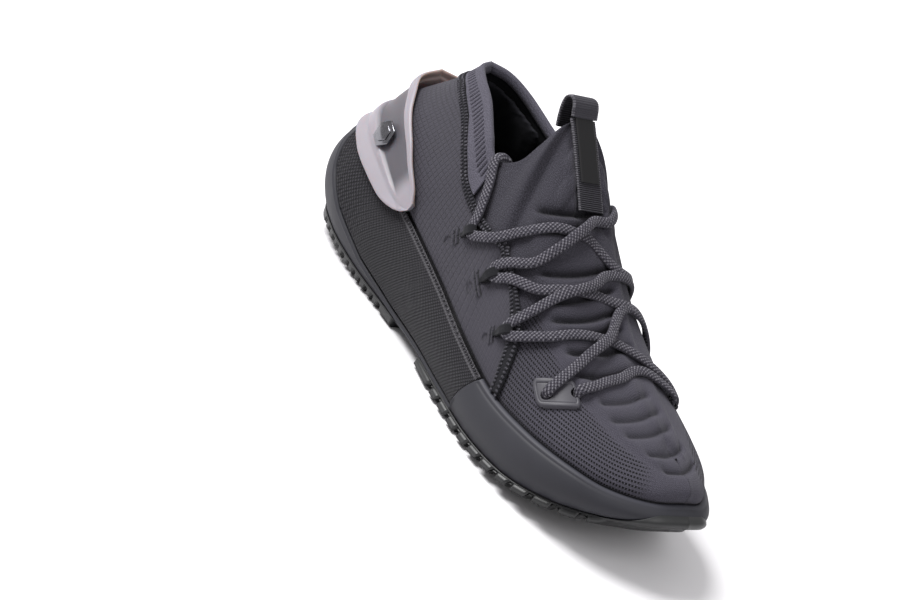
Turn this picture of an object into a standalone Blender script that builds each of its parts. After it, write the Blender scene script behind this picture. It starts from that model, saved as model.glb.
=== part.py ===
"""Running shoe, right foot: a knitted bootie on a web-wrapped foam midsole, with a moulded heel counter.

Metres, +Z up, +X towards the toe, -Y the outer (lateral) side of the foot. Lengths below are millimetres.
The shoe follows from a few lines in space that run from the heel centre to the toe tip, one of each kind
for either side. A place on the shoe is a station along those lines (0 at the heel centre, 12 at the toe
tip) and a height between two of them.
"""
import functools
import math

import bmesh
import bpy
import numpy as np
from mathutils import Vector
from mathutils.bvhtree import BVHTree

MM = 0.001
LATERAL, MEDIAL = -1, 1
SHIFT = (3.68, 3.45, 0.0)  # brings the middle of the shoe's box over the origin

# ---- driving dimensions ------------------------------------------------------------------------------
GAP = 0.35                 # clearance between two pieces that touch
KNIT_THICK = 1.6           # knitted bootie
PANEL_THICK = 0.7          # ripstop quarter panels
RIB_THICK = 1.1            # ribbed collar
WEB_THICK = 2.0            # compression mesh round the foam core
WALL = 2.4                 # width of the midsole's top edge
BOARD_THICK = 1.4
LINER_HEEL, LINER_TOE = 5.5, 4.0
TREAD = 4.65               # outsole sheet and lugs together
GROOVE_DEPTH = 2.3
LACE_R = 2.2
UNDER_LIFT, OVER_LIFT = 3.3, 8.3   # height of the lace over the knit where two legs cross
TURN_LIFT, TURN_R = 5.7, 4.8       # height and radius of its bends at the side loops
EMBLEM_STATION = 2.2
BRAID_R = 1.1
COUNTER_THICK = 1.7
STRAP_THICK = 1.1
LABEL_THICK = 0.5
AGLET_R, AGLET_LENGTH = 1.9, 14.0
SEAM = 6.72                # station where the web ends and the bare forefoot foam starts
V_POINT = 4.4              # station of the low point of the collar
TONGUE_AXIS = (6, 0, 101.5)        # the tongue folds forwards about its front seam
LOOP_AXIS = (-30.2, 0, 140.2)      # the pull loop bends where it leaves the strap
LINER_AXIS = (131, 0, 33)          # the sockliner lifts at the heel and stays down at the toe
HOLE_R = 3.3               # lace holes in the bottom eyelet patches

# ---- lines of the shoe: station, x, y to the lateral side, y to the medial side, z -------------------
GROUND_EDGE = [(0, -147, 0, 0, 15), (1, -138, 30, 28, 12), (2, -116, 38, 36, 8), (3, -84, 40, 37, 5.4),
               (4, -50, 39.5, 33, 4.65), (5, -15, 41, 32, 4.65), (6, 20, 46, 36, 4.65), (7, 55, 50, 42, 4.9),
               (8, 88, 50, 43.5, 8.5), (9, 113, 42, 39, 14.5), (10, 129, 30, 31, 20.5), (11, 139, 12, 20, 25),
               (12, 141.5, -7, 7, 26.5)]
WIDEST = [(0, -157, 0, 0, 22), (1, -148, 34, 32, 20.5), (2, -123, 44.5, 42, 18.5), (3, -88, 46, 43, 17.5),
          (4, -50, 45.5, 38.5, 17), (5, -15, 47, 37, 16), (6, 20, 51, 41, 14), (7, 55, 54.5, 46.5, 13.5),
          (8, 90, 53.5, 47.5, 17), (9, 116, 45.5, 43, 24.5), (10, 133.5, 32.5, 34, 30), (11, 144.5, 13, 21, 33.5),
          (12, 147.5, -7, 7, 34.5)]
BITE = [(0, -147, 0, 0, 68), (1, -139, 25, 24, 66.5), (2, -118, 36.5, 34.5, 62.5), (3, -86, 41.5, 39, 56.5),
        (4, -50, 43.5, 38.5, 49.5), (5, -15, 46, 39, 43), (6, 20, 49.5, 41, 36), (7, 55, 51.5, 44, 31),
        (8, 88, 50.5, 45, 32.5), (9, 114.5, 43, 41, 34.5), (10, 130.5, 31, 32, 35), (11, 141, 12, 20, 36.5),
        (12, 143.5, -7, 7, 38)]
FOOTBED = [(0, -134, 0, 0, 34), (1, -128, 19, 19, 33), (2, -112, 28, 27, 32), (3, -84, 31, 29, 31),
           (4, -50, 31.5, 27, 29), (5, -15, 33, 26, 26), (6, 20, 37, 30, 23), (7, 55, 41, 35, 21.5),
           (8, 88, 41, 36, 23.5), (9, 110, 34, 33, 26.5), (10, 124.5, 23, 24, 29), (11, 133, 8, 14.5, 31),
           (12, 135, -7, 7, 31.5)]
# Collar rim of each side, then the edge of the tongue up to its top centre.
RIM = {LATERAL: [(0, -107, 0, 123), (1, -101, 9, 123), (2, -88, 16, 122.5), (3, -70, 22, 119.5),
                 (3.8, -50, 28.5, 111), (V_POINT, -38, 30, 104.5), (4.9, -27, 26.5, 111), (5.4, -26, 19, 123),
                 (5.75, -28, 10.5, 133), (6, -31, 0, 137.5)],
       MEDIAL: [(0, -107, 0, 123), (1, -101, 10, 121.5), (2, -90, 18, 117), (3, -70, 24, 110),
                (3.8, -50, 27, 105), (V_POINT, -38, 27, 102.5), (4.9, -27, 24.5, 111), (5.4, -26, 18, 123),
                (5.75, -28, 10, 133), (6, -31, 0, 137.5)]}
# Middle of the tongue and of the instep down to the toe, where the two sides meet.
RIDGE = [(6, -31, 0, 0, 137.5), (6.35, -19, 0, 0, 127.5), (6.7, -5, 0, 0, 115), (7, 8, 0, 0, 103.5),
         (7.5, 25, 0, 0, 90), (8, 40, 0, 0, 79.5), (8.5, 55, -0.5, 0.5, 71), (9, 69, -1.5, 1.5, 64.5),
         (9.5, 82, -3, 3, 60), (10, 94, -4, 4, 56.8), (11, 113, -6, 6, 52.5), (12, 124, -7, 7, 50)]
# Bend of the upper's sections: how far each end runs straight on, as x, outwards y and z.
RISE = [(0, -3, 0, 18), (1, -2, 2, 18), (2, -1, 3, 18), (3, 0, 3, 17), (4, 0, 2, 16), (5, 0, 2, 18),
        (6, 0, 2, 20), (7, 0, 3, 18), (8, 1, 3, 14), (9, 2, 3, 12), (10, 3, 2, 10), (11, 4, 1, 9),
        (12, 5, 0, 9)]
CREST = [(0, -8, 0, -18), (1, -7, 3, -18), (2, -4, 6, -17), (3, 0, 7, -16), (4, 1, 6, -14), (4.4, 3, 5, -10),
         (5, 12, 8, -12), (5.5, 12, 13, -9), (6, 6, 16, -4), (6.5, 9, 17, 0), (7, 9, 18, 0), (8, 6, 19, 0),
         (9, 4, 18, 0), (10, 4, 15, 0), (11, 7, 9, 0), (12, 11, 0, 0)]

# ---- seams, as station and height --------------------------------------------------------------------
BRAID_LINE = [(0, 0.8), (1, 0.8), (2, 0.79), (3, 0.75), (4, 0.66), (5, 0.5), (6, 0.4), (6.6, 0.37),
              (6.92, 0.31), (7.03, 0.16), (7.05, 0.03)]
CARRIER_SHARE = [(0, 1.0), (0.6, 0.98), (1.3, 0.78), (1.8, 0.52), (2.4, 0.32), (3.2, 0.17), (4.2, 0.1),
                 (SEAM - 0.3, 0.1), (SEAM, 1.0), (12, 1.0)]
TONGUE_LINE = [(V_POINT, 1.0), (4.7, 0.92), (5, 0.83), (5.4, 0.71), (6, 0.62), (6.5, 0.68), (6.8, 0.82),
               (7.0, 1.0)]
COUNTER_LOW = [(0, 70), (1.05, 62), (1.75, 57.5), (2.53, 52.5), (3.1, 49.5), (3.4, 50.5), (3.58, 53), (3.68, 56)]
COUNTER_HIGH = [(0, 100), (0.9, 98), (1.5, 95), (2.05, 89.5), (2.7, 81), (3.2, 72), (3.5, 66), (3.68, 60.5)]
COUNTER_FLARE = [(0, 11), (0.9, 8), (1.5, 4), (2.1, 1.5), (2.7, 0)]

# ---- lace, as points near the surface of the upper: x, y to the side, z -------------------------------
TURNS = {LATERAL: [(-20, -40, 71.5), (11, -41.5, 64), (37.5, -43.5, 55.5)],
         MEDIAL: [(-20, 38, 64), (11, 37.5, 56), (37.5, 38, 50)]}
PATCH_HOLES = {LATERAL: [(79.5, -42.5, 49.2), (85.5, -32.5, 55.7)],
               MEDIAL: [(79.5, 38, 49.5), (85.5, 29.5, 55.5)]}


# ---- curves and surfaces -----------------------------------------------------------------------------
def smooth(table, at):
    """Smooth curve through the rows of a table, whose first column is the parameter."""
    rows = np.asarray(table, float)
    knots, values = rows[:, 0], rows[:, 1:]
    at = min(max(at, knots[0]), knots[-1])
    i = min(int(np.searchsorted(knots, at, side="right")) - 1, len(knots) - 2)
    width = knots[i + 1] - knots[i]

    def slope(k):
        a, b = max(k - 1, 0), min(k + 1, len(knots) - 1)
        return (values[b] - values[a]) / (knots[b] - knots[a])

    f = (at - knots[i]) / width
    return ((2 * f ** 3 - 3 * f ** 2 + 1) * values[i] + (f ** 3 - 2 * f ** 2 + f) * width * slope(i)
            + (3 * f ** 2 - 2 * f ** 3) * values[i + 1] + (f ** 3 - f ** 2) * width * slope(i + 1))


def straight(pairs, at):
    return float(np.interp(at, [p[0] for p in pairs], [p[1] for p in pairs]))


def line(table, station, side):
    x, lateral, medial, z = smooth(table, station)
    return np.array([x, -lateral if side == LATERAL else medial, z])


def top_line(station, side):
    if station >= 6:
        return line(RIDGE, station, side)
    x, out, z = smooth(RIM[side], station)
    return np.array([x, side * out, z])


def outwards(station, side):
    """Level unit vector square to the widest line, pointing away from the shoe."""
    if station <= 0.02:
        return np.array([-1.0, 0.0, 0.0])
    if station >= 11.98:
        return np.array([1.0, 0.0, 0.0])
    run = line(WIDEST, station + 0.02, side) - line(WIDEST, station - 0.02, side)
    across = np.array([-run[1], run[0], 0.0]) * side
    return across / np.linalg.norm(across)


def wall(station, t, side, inset=0.0):
    """Outside of the midsole: t is 0 at the ground edge and 1 at the bite line."""
    low, mid, high = (line(table, station, side) for table in (GROUND_EDGE, WIDEST, BITE))
    share = 0.32
    pull = (mid - (1 - share) ** 2 * low - share ** 2 * high) / (2 * share * (1 - share))
    point = (1 - t) ** 2 * low + 2 * t * (1 - t) * pull + t ** 2 * high
    point[2] = low[2] + (high[2] - low[2]) * t
    return point - outwards(station, side) * inset


def skirt(station, f, side, away=0.0):
    """Outside of the upper below the bite line: f is 0 at the bite line and 1 at the lasting board."""
    level = outwards(station, side)
    high = line(BITE, station, side) - level * (WALL + GAP)
    low = line(FOOTBED, station, side) + level * 2.6
    low[2] -= BOARD_THICK
    return high + (low - high) * f + level * away


def upper_face(station, v, side):
    level = outwards(station, side)
    low = line(BITE, station, side) - level * (WALL + GAP)
    high = top_line(station, side)
    rise, crest = smooth(RISE, station), smooth(CREST, station)
    a = low + level * rise[1] + (rise[0], 0, rise[2])
    b = high + crest * (1, side, 1)
    return (1 - v) ** 3 * low + 3 * v * (1 - v) ** 2 * a + 3 * v * v * (1 - v) * b + v ** 3 * high


def upper(station, v, side, away=0.0):
    """Outside of the knitted bootie, or a layer at some distance outside it (or inside it, if negative).
    v is 0 at the bite line and 1 at the rim or the ridge."""
    point = upper_face(station, v, side)
    if away == 0.0:
        return point
    s0, s1 = max(station - 0.03, 0.0), min(station + 0.03, 12.0)
    v0, v1 = max(v - 0.02, 0.0), min(v + 0.02, 1.0)
    along = upper_face(s1, v, side) - upper_face(s0, v, side)
    up = upper_face(station, v1, side) - upper_face(station, v0, side)
    normal = np.cross(along, up) * -side
    if station <= 0.03 or station >= 11.97:
        normal[1] = 0.0
    return point + normal / np.linalg.norm(normal) * away


def bed(station):
    return smooth(FOOTBED, station)[3]


def centre(table, station, z):
    """A point on the shoe's middle plane, which bends towards the big toe."""
    x = smooth(table, station)[0]
    return np.array([x, float(np.interp(x, (-140, 30, 139), (0, 0, 8))), z])


# ---- objects -----------------------------------------------------------------------------------------
def placed(point):
    """A point in millimetres as a vector in metres, in the shoe's final place."""
    return (Vector(point) + Vector(SHIFT)) * MM


def material(name, colour, roughness, metallic=0.0):
    made = bpy.data.materials.get(name)
    if made:
        return made
    made = bpy.data.materials.new(name)
    made.use_nodes = True
    shader = made.node_tree.nodes["Principled BSDF"]
    shader.inputs["Base Color"].default_value = (*colour, 1)
    shader.inputs["Roughness"].default_value = roughness
    shader.inputs["Metallic"].default_value = metallic
    return made


def knit():
    return material("knit", (0.035, 0.034, 0.042), 0.9)


def ripstop():
    return material("ripstop", (0.05, 0.048, 0.056), 0.75)


def web_mesh():
    return material("web_mesh", (0.03, 0.03, 0.034), 0.85)


def carrier_foam():
    return material("carrier_foam", (0.03, 0.031, 0.036), 0.6)


def core_foam():
    return material("core_foam", (0.5, 0.5, 0.5), 0.7)


def rubber():
    return material("outsole_rubber", (0.012, 0.012, 0.014), 0.45)


def tpu():
    return material("smoked_tpu", (0.2, 0.19, 0.2), 0.35)


def dark_chrome():
    return material("dark_chrome", (0.25, 0.25, 0.26), 0.15, 1.0)


def webbing():
    return material("webbing", (0.02, 0.02, 0.024), 0.8)


def lining():
    return material("lining", (0.01, 0.01, 0.012), 0.95)


def board():
    return material("lasting_board", (0.35, 0.35, 0.34), 0.95)


def film():
    return material("film", (0.08, 0.08, 0.09), 0.3)


def braid():
    return material("braid", (0.015, 0.015, 0.018), 0.8)


def lace_yarn():
    return material("lace_yarn", (0.06, 0.058, 0.065), 0.85)


def tip_plastic():
    return material("tip_plastic", (0.02, 0.02, 0.022), 0.3)


@functools.cache
def collection(name):
    made = bpy.data.collections.new(name)
    bpy.context.scene.collection.children.link(made)
    return made


def shoe():
    return collection("running_shoe")


def tools():
    made = collection("cutters")
    made.hide_render = True
    return made


def finish_mesh(name, work, stuff, group):
    data = bpy.data.meshes.new(name)
    work.to_mesh(data)
    work.free()
    made = bpy.data.objects.new(name, data)
    if stuff:
        data.materials.append(stuff)
    data.shade_smooth()
    data.set_sharp_from_angle(angle=math.radians(38))
    group.objects.link(made)
    return made


def mesh_from(name, points, faces, stuff, solid):
    """Mesh from points in millimetres. Points that coincide become one, and a solid is turned outwards."""
    work = bmesh.new()
    corners = [work.verts.new(placed(p)) for p in points]
    for face in faces:
        work.faces.new([corners[i] for i in face])
    bmesh.ops.remove_doubles(work, verts=work.verts, dist=0.02 * MM)
    if solid:
        bmesh.ops.recalc_face_normals(work, faces=work.faces)
        if work.calc_volume(signed=True) < 0:
            bmesh.ops.reverse_faces(work, faces=work.faces)
    return finish_mesh(name, work, stuff, shoe())


def grid_faces(rows, columns, start, flip):
    quads = []
    for i in range(rows - 1):
        for j in range(columns - 1):
            a = start + i * columns + j
            quad = (a, a + 1, a + columns + 1, a + columns)
            quads.append(quad[::-1] if flip else quad)
    return quads


def thicken(made, thickness):
    layer = made.modifiers.new("thickness", "SOLIDIFY")
    layer.thickness = thickness * MM
    layer.offset = -1.0


def sheet(name, grids, thickness, stuff):
    """A panel from grids of points on its outer face, one for each side given, thickened inwards."""
    points, faces = [], []
    for side, grid in grids:
        faces += grid_faces(len(grid), len(grid[0]), len(points), side == LATERAL)
        points += [p for row in grid for p in row]
    made = mesh_from(name, points, faces, stuff, solid=False)
    thicken(made, thickness)
    return made


def rings(name, sections, stuff, caps=(True, True)):
    """A solid through closed rings of points. An end without a cap is one where the ring folds flat."""
    count = len(sections[0])
    points = [p for ring in sections for p in ring]
    faces = [tuple(range(start, start + count)) for start, cap in zip((0, len(points) - count), caps) if cap]
    for i in range(len(sections) - 1):
        for j in range(count):
            k = (j + 1) % count
            faces.append((i * count + j, i * count + k, (i + 1) * count + k, (i + 1) * count + j))
    return mesh_from(name, points, faces, stuff, solid=True)


def sole_part(name, stations, half_section, stuff):
    """A solid of the sole from half sections, which run from the bottom to the top of the middle plane, so
    that the two halves of a station make one ring."""
    sections = []
    for station in stations:
        lateral = half_section(station, LATERAL)
        medial = half_section(station, MEDIAL)
        sections.append(lateral + medial[::-1])
    return rings(name, sections, stuff, (stations[0] > 0, stations[-1] < 12))


def cord(name, points, radius, stuff):
    data = bpy.data.curves.new(name, "CURVE")
    data.dimensions = "3D"
    data.bevel_depth = radius * MM
    data.bevel_resolution = 2
    data.render_resolution_u = 0
    data.use_fill_caps = True
    spline = data.splines.new("POLY")
    spline.points.add(len(points) - 1)
    for corner, point in zip(spline.points, points):
        corner.co = (*placed(point), 1)
    data.materials.append(stuff)
    made = bpy.data.objects.new(name, data)
    shoe().objects.link(made)
    return made


def origin_at(made, point):
    """Put an object's origin on the axis it turns about."""
    axis = placed(point)
    for corner in made.data.vertices:
        corner.co -= axis
    made.location = axis


def cut(made, name, boxes):
    """Take a set of separate solids, given as (points, faces), out of an object."""
    work = bmesh.new()
    for points, faces in boxes:
        corners = [work.verts.new(placed(p)) for p in points]
        for face in faces:
            work.faces.new([corners[i] for i in face])
    bmesh.ops.recalc_face_normals(work, faces=work.faces)
    cutter = finish_mesh(name, work, None, tools())
    cutter.display_type = "WIRE"
    step = made.modifiers.new(name, "BOOLEAN")
    step.object = cutter
    step.operation = "DIFFERENCE"
    step.solver = "EXACT"


def box(x0, x1, y0, y1, z0, z1, slant=0.0):
    """Eight corners and six faces; slant moves the far y end along x."""
    points = [(x + (slant if y == y1 else 0.0), y, z) for z in (z0, z1) for y in (y0, y1) for x in (x0, x1)]
    faces = [(0, 1, 3, 2), (4, 5, 7, 6), (0, 1, 5, 4), (2, 3, 7, 6), (0, 2, 6, 4), (1, 3, 7, 5)]
    return points, faces


def rod(start, direction, radius, sides=16):
    """A cylinder as points and faces."""
    axis = Vector(direction)
    a = axis.orthogonal().normalized()
    b = axis.normalized().cross(a)
    points, loop = [], range(sides)
    for base in (Vector(start), Vector(start) + axis):
        for i in loop:
            turn = 2 * math.pi * i / sides
            points.append(base + (a * math.cos(turn) + b * math.sin(turn)) * radius)
    faces = [tuple(loop), tuple(range(sides, 2 * sides))]
    faces += [(i, (i + 1) % sides, sides + (i + 1) % sides, sides + i) for i in loop]
    return points, faces


# ---- midsole and outsole -----------------------------------------------------------------------------
def low_floor(station):
    return smooth(GROUND_EDGE, station)[3] + 6.0


def carrier_floor(station):
    if 1.35 < station < SEAM - 0.1:
        return low_floor(station)
    return bed(station) - BOARD_THICK - GAP


def carrier_half(station, side):
    share = straight(CARRIER_SHARE, station)
    outer = [wall(station, t, side) for t in np.linspace(0, share, 6)]
    floor = carrier_floor(station)
    low, high = outer[0][2], line(BITE, station, side)[2]
    if share > 0.97:
        inner = [skirt(station, f, side, GAP) for f in np.linspace(0, 1, 4)]
        inner[-1][2] = floor
    else:
        floor = min(floor, outer[-1][2] - 0.6)
        heights = np.linspace(outer[-1][2], floor, 4)
        inner = [wall(station, (z - low) / (high - low), side, WALL) for z in heights]
    return [centre(GROUND_EDGE, station, outer[0][2]), *outer, *inner, centre(FOOTBED, station, floor)]


SOLE_STATIONS = [0, 0.3, 0.6, 0.9, 1.1, 1.3, 1.4, *np.linspace(1.7, 6.3, 15), SEAM - 0.3, SEAM - 0.15,
                 SEAM - 0.06, SEAM, 7.02, *np.linspace(7.4, 9.9, 8), 10.15, 10.4, 10.65, 10.9, 11.15, 11.4,
                 11.7, 12]


def build_carrier():
    sole_part("midsole_carrier", SOLE_STATIONS, carrier_half, carrier_foam())


def build_web():
    stations = [s for s in SOLE_STATIONS if 1.0 < s < SEAM - 0.03]
    for side, word in ((LATERAL, "lateral"), (MEDIAL, "medial")):
        grid = [[wall(s, t, side) for t in np.linspace(min(straight(CARRIER_SHARE, s) + 0.03, 0.96), 1.0, 6)]
                for s in stations]
        sheet("energy_web_" + word, [(side, grid)], WEB_THICK, web_mesh())


def core_half(station, side):
    low = low_floor(station) + 0.8
    edge, high = line(GROUND_EDGE, station, side)[2], line(BITE, station, side)[2]
    t_low, t_high = (low - edge) / (high - edge), 0.84
    outer = [wall(station, t, side, WALL + 1.5) for t in np.linspace(t_low, t_high, 4)]
    bottom = line(FOOTBED, station, side)[2] - BOARD_THICK
    rail = skirt(station, (high - outer[-1][2]) / (high - bottom), side, GAP)
    inner = skirt(station, 1, side, GAP)
    inner[2] -= GAP
    return [centre(GROUND_EDGE, station, low), *outer, rail, inner, centre(FOOTBED, station, inner[2])]


def build_core():
    sole_part("cushion_core", [s for s in SOLE_STATIONS if 1.8 < s < SEAM - 0.4], core_half, core_foam())


def bumper(station):
    """Height to which the rubber climbs the wall: a low lip, and the toe bumper."""
    return 0.03 + 0.57 * min(max(station - 9.9, 0.0) / 0.75, 1.0)


def tread_half(station, side):
    rise = bumper(station)
    level = outwards(station, side)
    drop = np.array([0, 0, GAP])
    inner = [wall(station, rise * j / 3, side) + level * GAP - drop for j in range(4)]
    skin = 0.8 + 1.2 * min(rise * 4, 1.0)
    outer = [wall(station, rise * j / 3, side) + level * (skin + 0.1 * (3 - j)) - drop for j in range(4)]
    foot = line(GROUND_EDGE, station, side) + level * 0.3
    foot[2] = max(foot[2] - TREAD, 0.0)
    bottom = centre(GROUND_EDGE, station, foot[2])
    return [bottom, foot, *outer, *inner[::-1], centre(GROUND_EDGE, station, inner[0][2])]


def ground(x):
    """Height of the tread's walking face at a place along the shoe."""
    stations = np.linspace(0, 12, 97)
    line_x = [smooth(GROUND_EDGE, s)[0] for s in stations]
    line_z = [smooth(GROUND_EDGE, s)[3] for s in stations]
    return max(float(np.interp(x, line_x, line_z)) - TREAD, 0.0)


def build_outsole():
    front = sole_part("outsole_forefoot", [s for s in SOLE_STATIONS if s > 5.2], tread_half, rubber())
    back = sole_part("outsole_heel", [s for s in SOLE_STATIONS if s < 4.3], tread_half, rubber())
    grooves = []
    for i in range(11):
        x = 9 + 11.5 * i
        top = ground(x) + GROOVE_DEPTH
        grooves.append(box(x, x + 2.4, -70, -4, -5, top, slant=5))
        if i < 10:
            grooves.append(box(x + 4, x + 6.4, 4, 70, -5, ground(x + 5) + GROOVE_DEPTH, slant=4))
    cut(front, "forefoot_grooves", grooves)
    heel = [box(x, x + 2.4, -70, 70, -5, ground(x + 1) + GROOVE_DEPTH) for x in (-126, -112, -98, -84, -70, -56)]
    cut(back, "heel_grooves", heel)


# ---- inside of the shoe ------------------------------------------------------------------------------
def slab(name, stations, reach, low, high, stuff):
    """A plate across the foot bed; reach moves its edge outwards from the foot bed line."""
    sections = []
    for station in stations:
        a = line(FOOTBED, station, LATERAL) + outwards(station, LATERAL) * reach
        b = line(FOOTBED, station, MEDIAL) + outwards(station, MEDIAL) * reach
        sections.append([(a[0], a[1], low(station)), (b[0], b[1], low(station)),
                         (b[0], b[1], high(station)), (a[0], a[1], high(station))])
    return rings(name, sections, stuff)


def build_foot_bed():
    stations = [0.12, 0.3, 0.6, *np.linspace(1, 11, 31), 11.4, 11.7, 11.88]
    slab("strobel_board", stations, 0.3, lambda s: bed(s) - BOARD_THICK, bed, board())
    liner = slab("sockliner", stations, -1.2, lambda s: bed(s) + GAP,
                 lambda s: bed(s) + GAP + straight([(0, LINER_HEEL), (4, LINER_HEEL), (8, LINER_TOE), (12, 3)], s),
                 lining())
    origin_at(liner, LINER_AXIS)


def build_pads():
    for side, word in ((LATERAL, "lateral"), (MEDIAL, "medial")):
        grid = [[upper(s, v, side, -KNIT_THICK - 0.5) for v in np.linspace(0.3, 0.9, 6)]
                for s in np.linspace(0.25, 2.9, 10)]
        sheet("heel_pad_" + word, [(side, grid)], 3.0, lining())
    stations = np.linspace(10.1, 11.6, 7)
    places = [(s, LATERAL) for s in stations] + [(s, MEDIAL) for s in stations[::-1]]
    grid = [[upper(s, v, side, -KNIT_THICK - 0.5) for v in np.linspace(0.08, 0.5, 4)] for s, side in places]
    sheet("toe_puff", [(LATERAL, grid)], 0.8, lining())


# ---- upper -------------------------------------------------------------------------------------------
def braid_height(station):
    return straight(BRAID_LINE, station)


def tongue_edge(station):
    if station < V_POINT or station > 7.0:
        return 1.0
    return float(smooth(TONGUE_LINE, station)[0])


BOOTIE_STATIONS = [*np.linspace(0, 4.2, 15), V_POINT, *np.linspace(4.6, 6.8, 12), 7.0,
                   *np.linspace(7.25, 11, 16), 11.35, 11.7, 12]


def bootie_column(station, side):
    top = tongue_edge(station)
    shares = [0.0, 0.04, 0.14, 0.28, 0.42, 0.56, 0.7, 0.82, 0.92, 1.0]
    below = [skirt(station, f, side) for f in (1.0, 0.66, 0.33)]
    return below + [upper(station, share * top, side) for share in shares]


def build_bootie():
    grids = [(side, [bootie_column(s, side) for s in BOOTIE_STATIONS]) for side in (LATERAL, MEDIAL)]
    bootie = sheet("knit_bootie", grids, KNIT_THICK, knit())
    cut(bootie, "lace_holes", lace_hole_rods())
    return bootie


def build_tongue():
    stations = [s for s in BOOTIE_STATIONS if V_POINT < s < 7.0]
    grids = []
    for side in (LATERAL, MEDIAL):
        grid = []
        for s in stations:
            low = min(tongue_edge(s) + 0.02, 0.985)
            grid.append([upper(s, low + (1 - low) * k, side) for k in (0, 0.25, 0.5, 0.75, 1.0)])
        grids.append((side, grid))
    tongue = sheet("tongue", grids, KNIT_THICK, knit())
    origin_at(tongue, TONGUE_AXIS)


def build_quarter():
    grids = []
    for side, word in ((LATERAL, "lateral"), (MEDIAL, "medial")):
        grid = []
        for s in [s for s in BOOTIE_STATIONS if s < 6.95]:
            top = braid_height(s) - 0.04
            grid.append([upper(s, 0.02 + (top - 0.02) * k, side, GAP + PANEL_THICK)
                         for k in np.linspace(0, 1, 7)])
        grids.append((side, grid))
        path = [upper(s, v, side, GAP + BRAID_R) for s, v in braid_path()]
        cord("collar_braid_" + word, path, BRAID_R, braid())
    sheet("ripstop_quarter", grids, PANEL_THICK, ripstop())


def braid_path():
    rows = [(i, s, v) for i, (s, v) in enumerate(BRAID_LINE)]
    path = [tuple(smooth(rows, i)) for i in np.linspace(0, len(rows) - 1, 60)]
    return [(max(s, 0.05), v) for s, v in path]


def build_collar():
    grids = []
    for side in (LATERAL, MEDIAL):
        grid = []
        for s in [*BOOTIE_STATIONS[:16]]:
            low = braid_height(s) + 0.05
            grid.append([upper(s, low + (0.985 - low) * k, side, GAP + RIB_THICK) for k in (0, 0.33, 0.67, 1)])
        grids.append((side, grid))
    sheet("collar_rib", grids, RIB_THICK, knit())


# ---- heel counter ------------------------------------------------------------------------------------
def heel_skin(station, z, side):
    """Outside of the foam and the upper at a height, without the step between them."""
    low, high = line(GROUND_EDGE, station, side)[2], line(BITE, station, side)[2]
    if z <= high:
        return wall(station, (z - low) / (high - low), side)
    v = 0.0
    while v < 1.0 and upper_face(station, v, side)[2] < z:
        v += 0.01
    step = WALL + GAP
    fade = min((z - high) / 14.0, 1.0)
    return upper_face(station, v, side) + outwards(station, side) * step * (1 - fade * fade * (3 - 2 * fade))


def counter_column(station, side):
    low, high = straight(COUNTER_LOW, station), straight(COUNTER_HIGH, station)
    flare = straight(COUNTER_FLARE, station)
    column = []
    for k in (0, 0.08, 0.2, 0.4, 0.6, 0.8, 0.92, 1.0):
        rim = max(abs(2 * k - 1) - 0.55, 0.0) / 0.45
        point = heel_skin(station, low + (high - low) * k, side) + outwards(station, side) * (3.2 + 1.2 * rim)
        point[0] -= flare * (max(k - 0.35, 0.0) / 0.65) ** 1.5
        column.append(point)
    return column


def build_counter():
    stations = [0, 0.3, 0.6, 0.9, 1.2, 1.5, 1.8, 2.1, 2.4, 2.7, 3.0, 3.2, 3.4, 3.58, 3.68]
    grids = [(side, [counter_column(s, side) for s in stations]) for side in (LATERAL, MEDIAL)]
    sheet("heel_counter", grids, COUNTER_THICK, tpu())


def build_emblem():
    """A six-sided badge on the recessed middle of the counter, on its outer side."""
    column = counter_column(EMBLEM_STATION, LATERAL)
    middle, up = Vector((column[3] + column[4]) / 2), Vector(column[4] - column[3]).normalized()
    ahead = Vector(counter_column(EMBLEM_STATION + 0.1, LATERAL)[4] - column[4])
    face = up.cross(ahead).normalized()
    if face.y > 0:
        face.negate()
    along = face.cross(up)
    points = []
    for away in (0.9, 2.3):
        for i in range(6):
            turn = math.pi * i / 3
            points.append(middle + face * away + along * (math.cos(turn) * 8.5) + up * (math.sin(turn) * 7.5))
    faces = [tuple(range(6)), tuple(range(6, 12))] + [(i, (i + 1) % 6, 6 + (i + 1) % 6, 6 + i) for i in range(6)]
    badge = mesh_from("heel_emblem", points, faces, dark_chrome(), solid=True)
    edge = badge.modifiers.new("edge", "BEVEL")
    edge.width = 0.4 * MM
    edge.segments = 2


# ---- lace --------------------------------------------------------------------------------------------
@functools.cache
def upper_tree():
    """Outer face of the upper as triangles to drop the lace on."""
    points, faces = [], []
    stations = np.linspace(3.5, 10.5, 57)
    heights = np.linspace(0.02, 1, 25)
    for side in (LATERAL, MEDIAL):
        start = len(points)
        points += [Vector(upper_face(s, v, side)) for s in stations for v in heights]
        faces += grid_faces(len(stations), len(heights), start, side == MEDIAL)
    return BVHTree.FromPolygons(points, faces)


def drape(point, lift):
    """The place on the upper beyond a point inside it, raised off the surface."""
    lean = float(np.interp(point[0], (0, 100), (0.85, 0.25)))
    origin = Vector((point[0] - lean * (point[2] - 36.0), 0.0, 36.0))
    way = (Vector(point) - origin).normalized()
    place, normal = upper_tree().ray_cast(origin, way)[:2]
    if normal.dot(way) < 0:
        normal.negate()
    return place + normal * lift, normal


def leg(start, end, lift_start, lift_middle, lift_end):
    """A lace run over the instep from one point to another, without its two ends."""
    a, b = Vector(start), Vector(end)
    path = []
    for i in range(1, 14):
        f = i / 14
        lift = lift_middle
        edge = max(min(f, 1 - f) - 0.29, 0.0) / 0.12
        if edge < 1:
            side_lift = lift_start if f < 0.5 else lift_end
            ease = edge * edge * (3 - 2 * edge)
            lift = side_lift + (lift_middle - side_lift) * ease
        path.append(drape(a.lerp(b, f), lift)[0])
    return path


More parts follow.
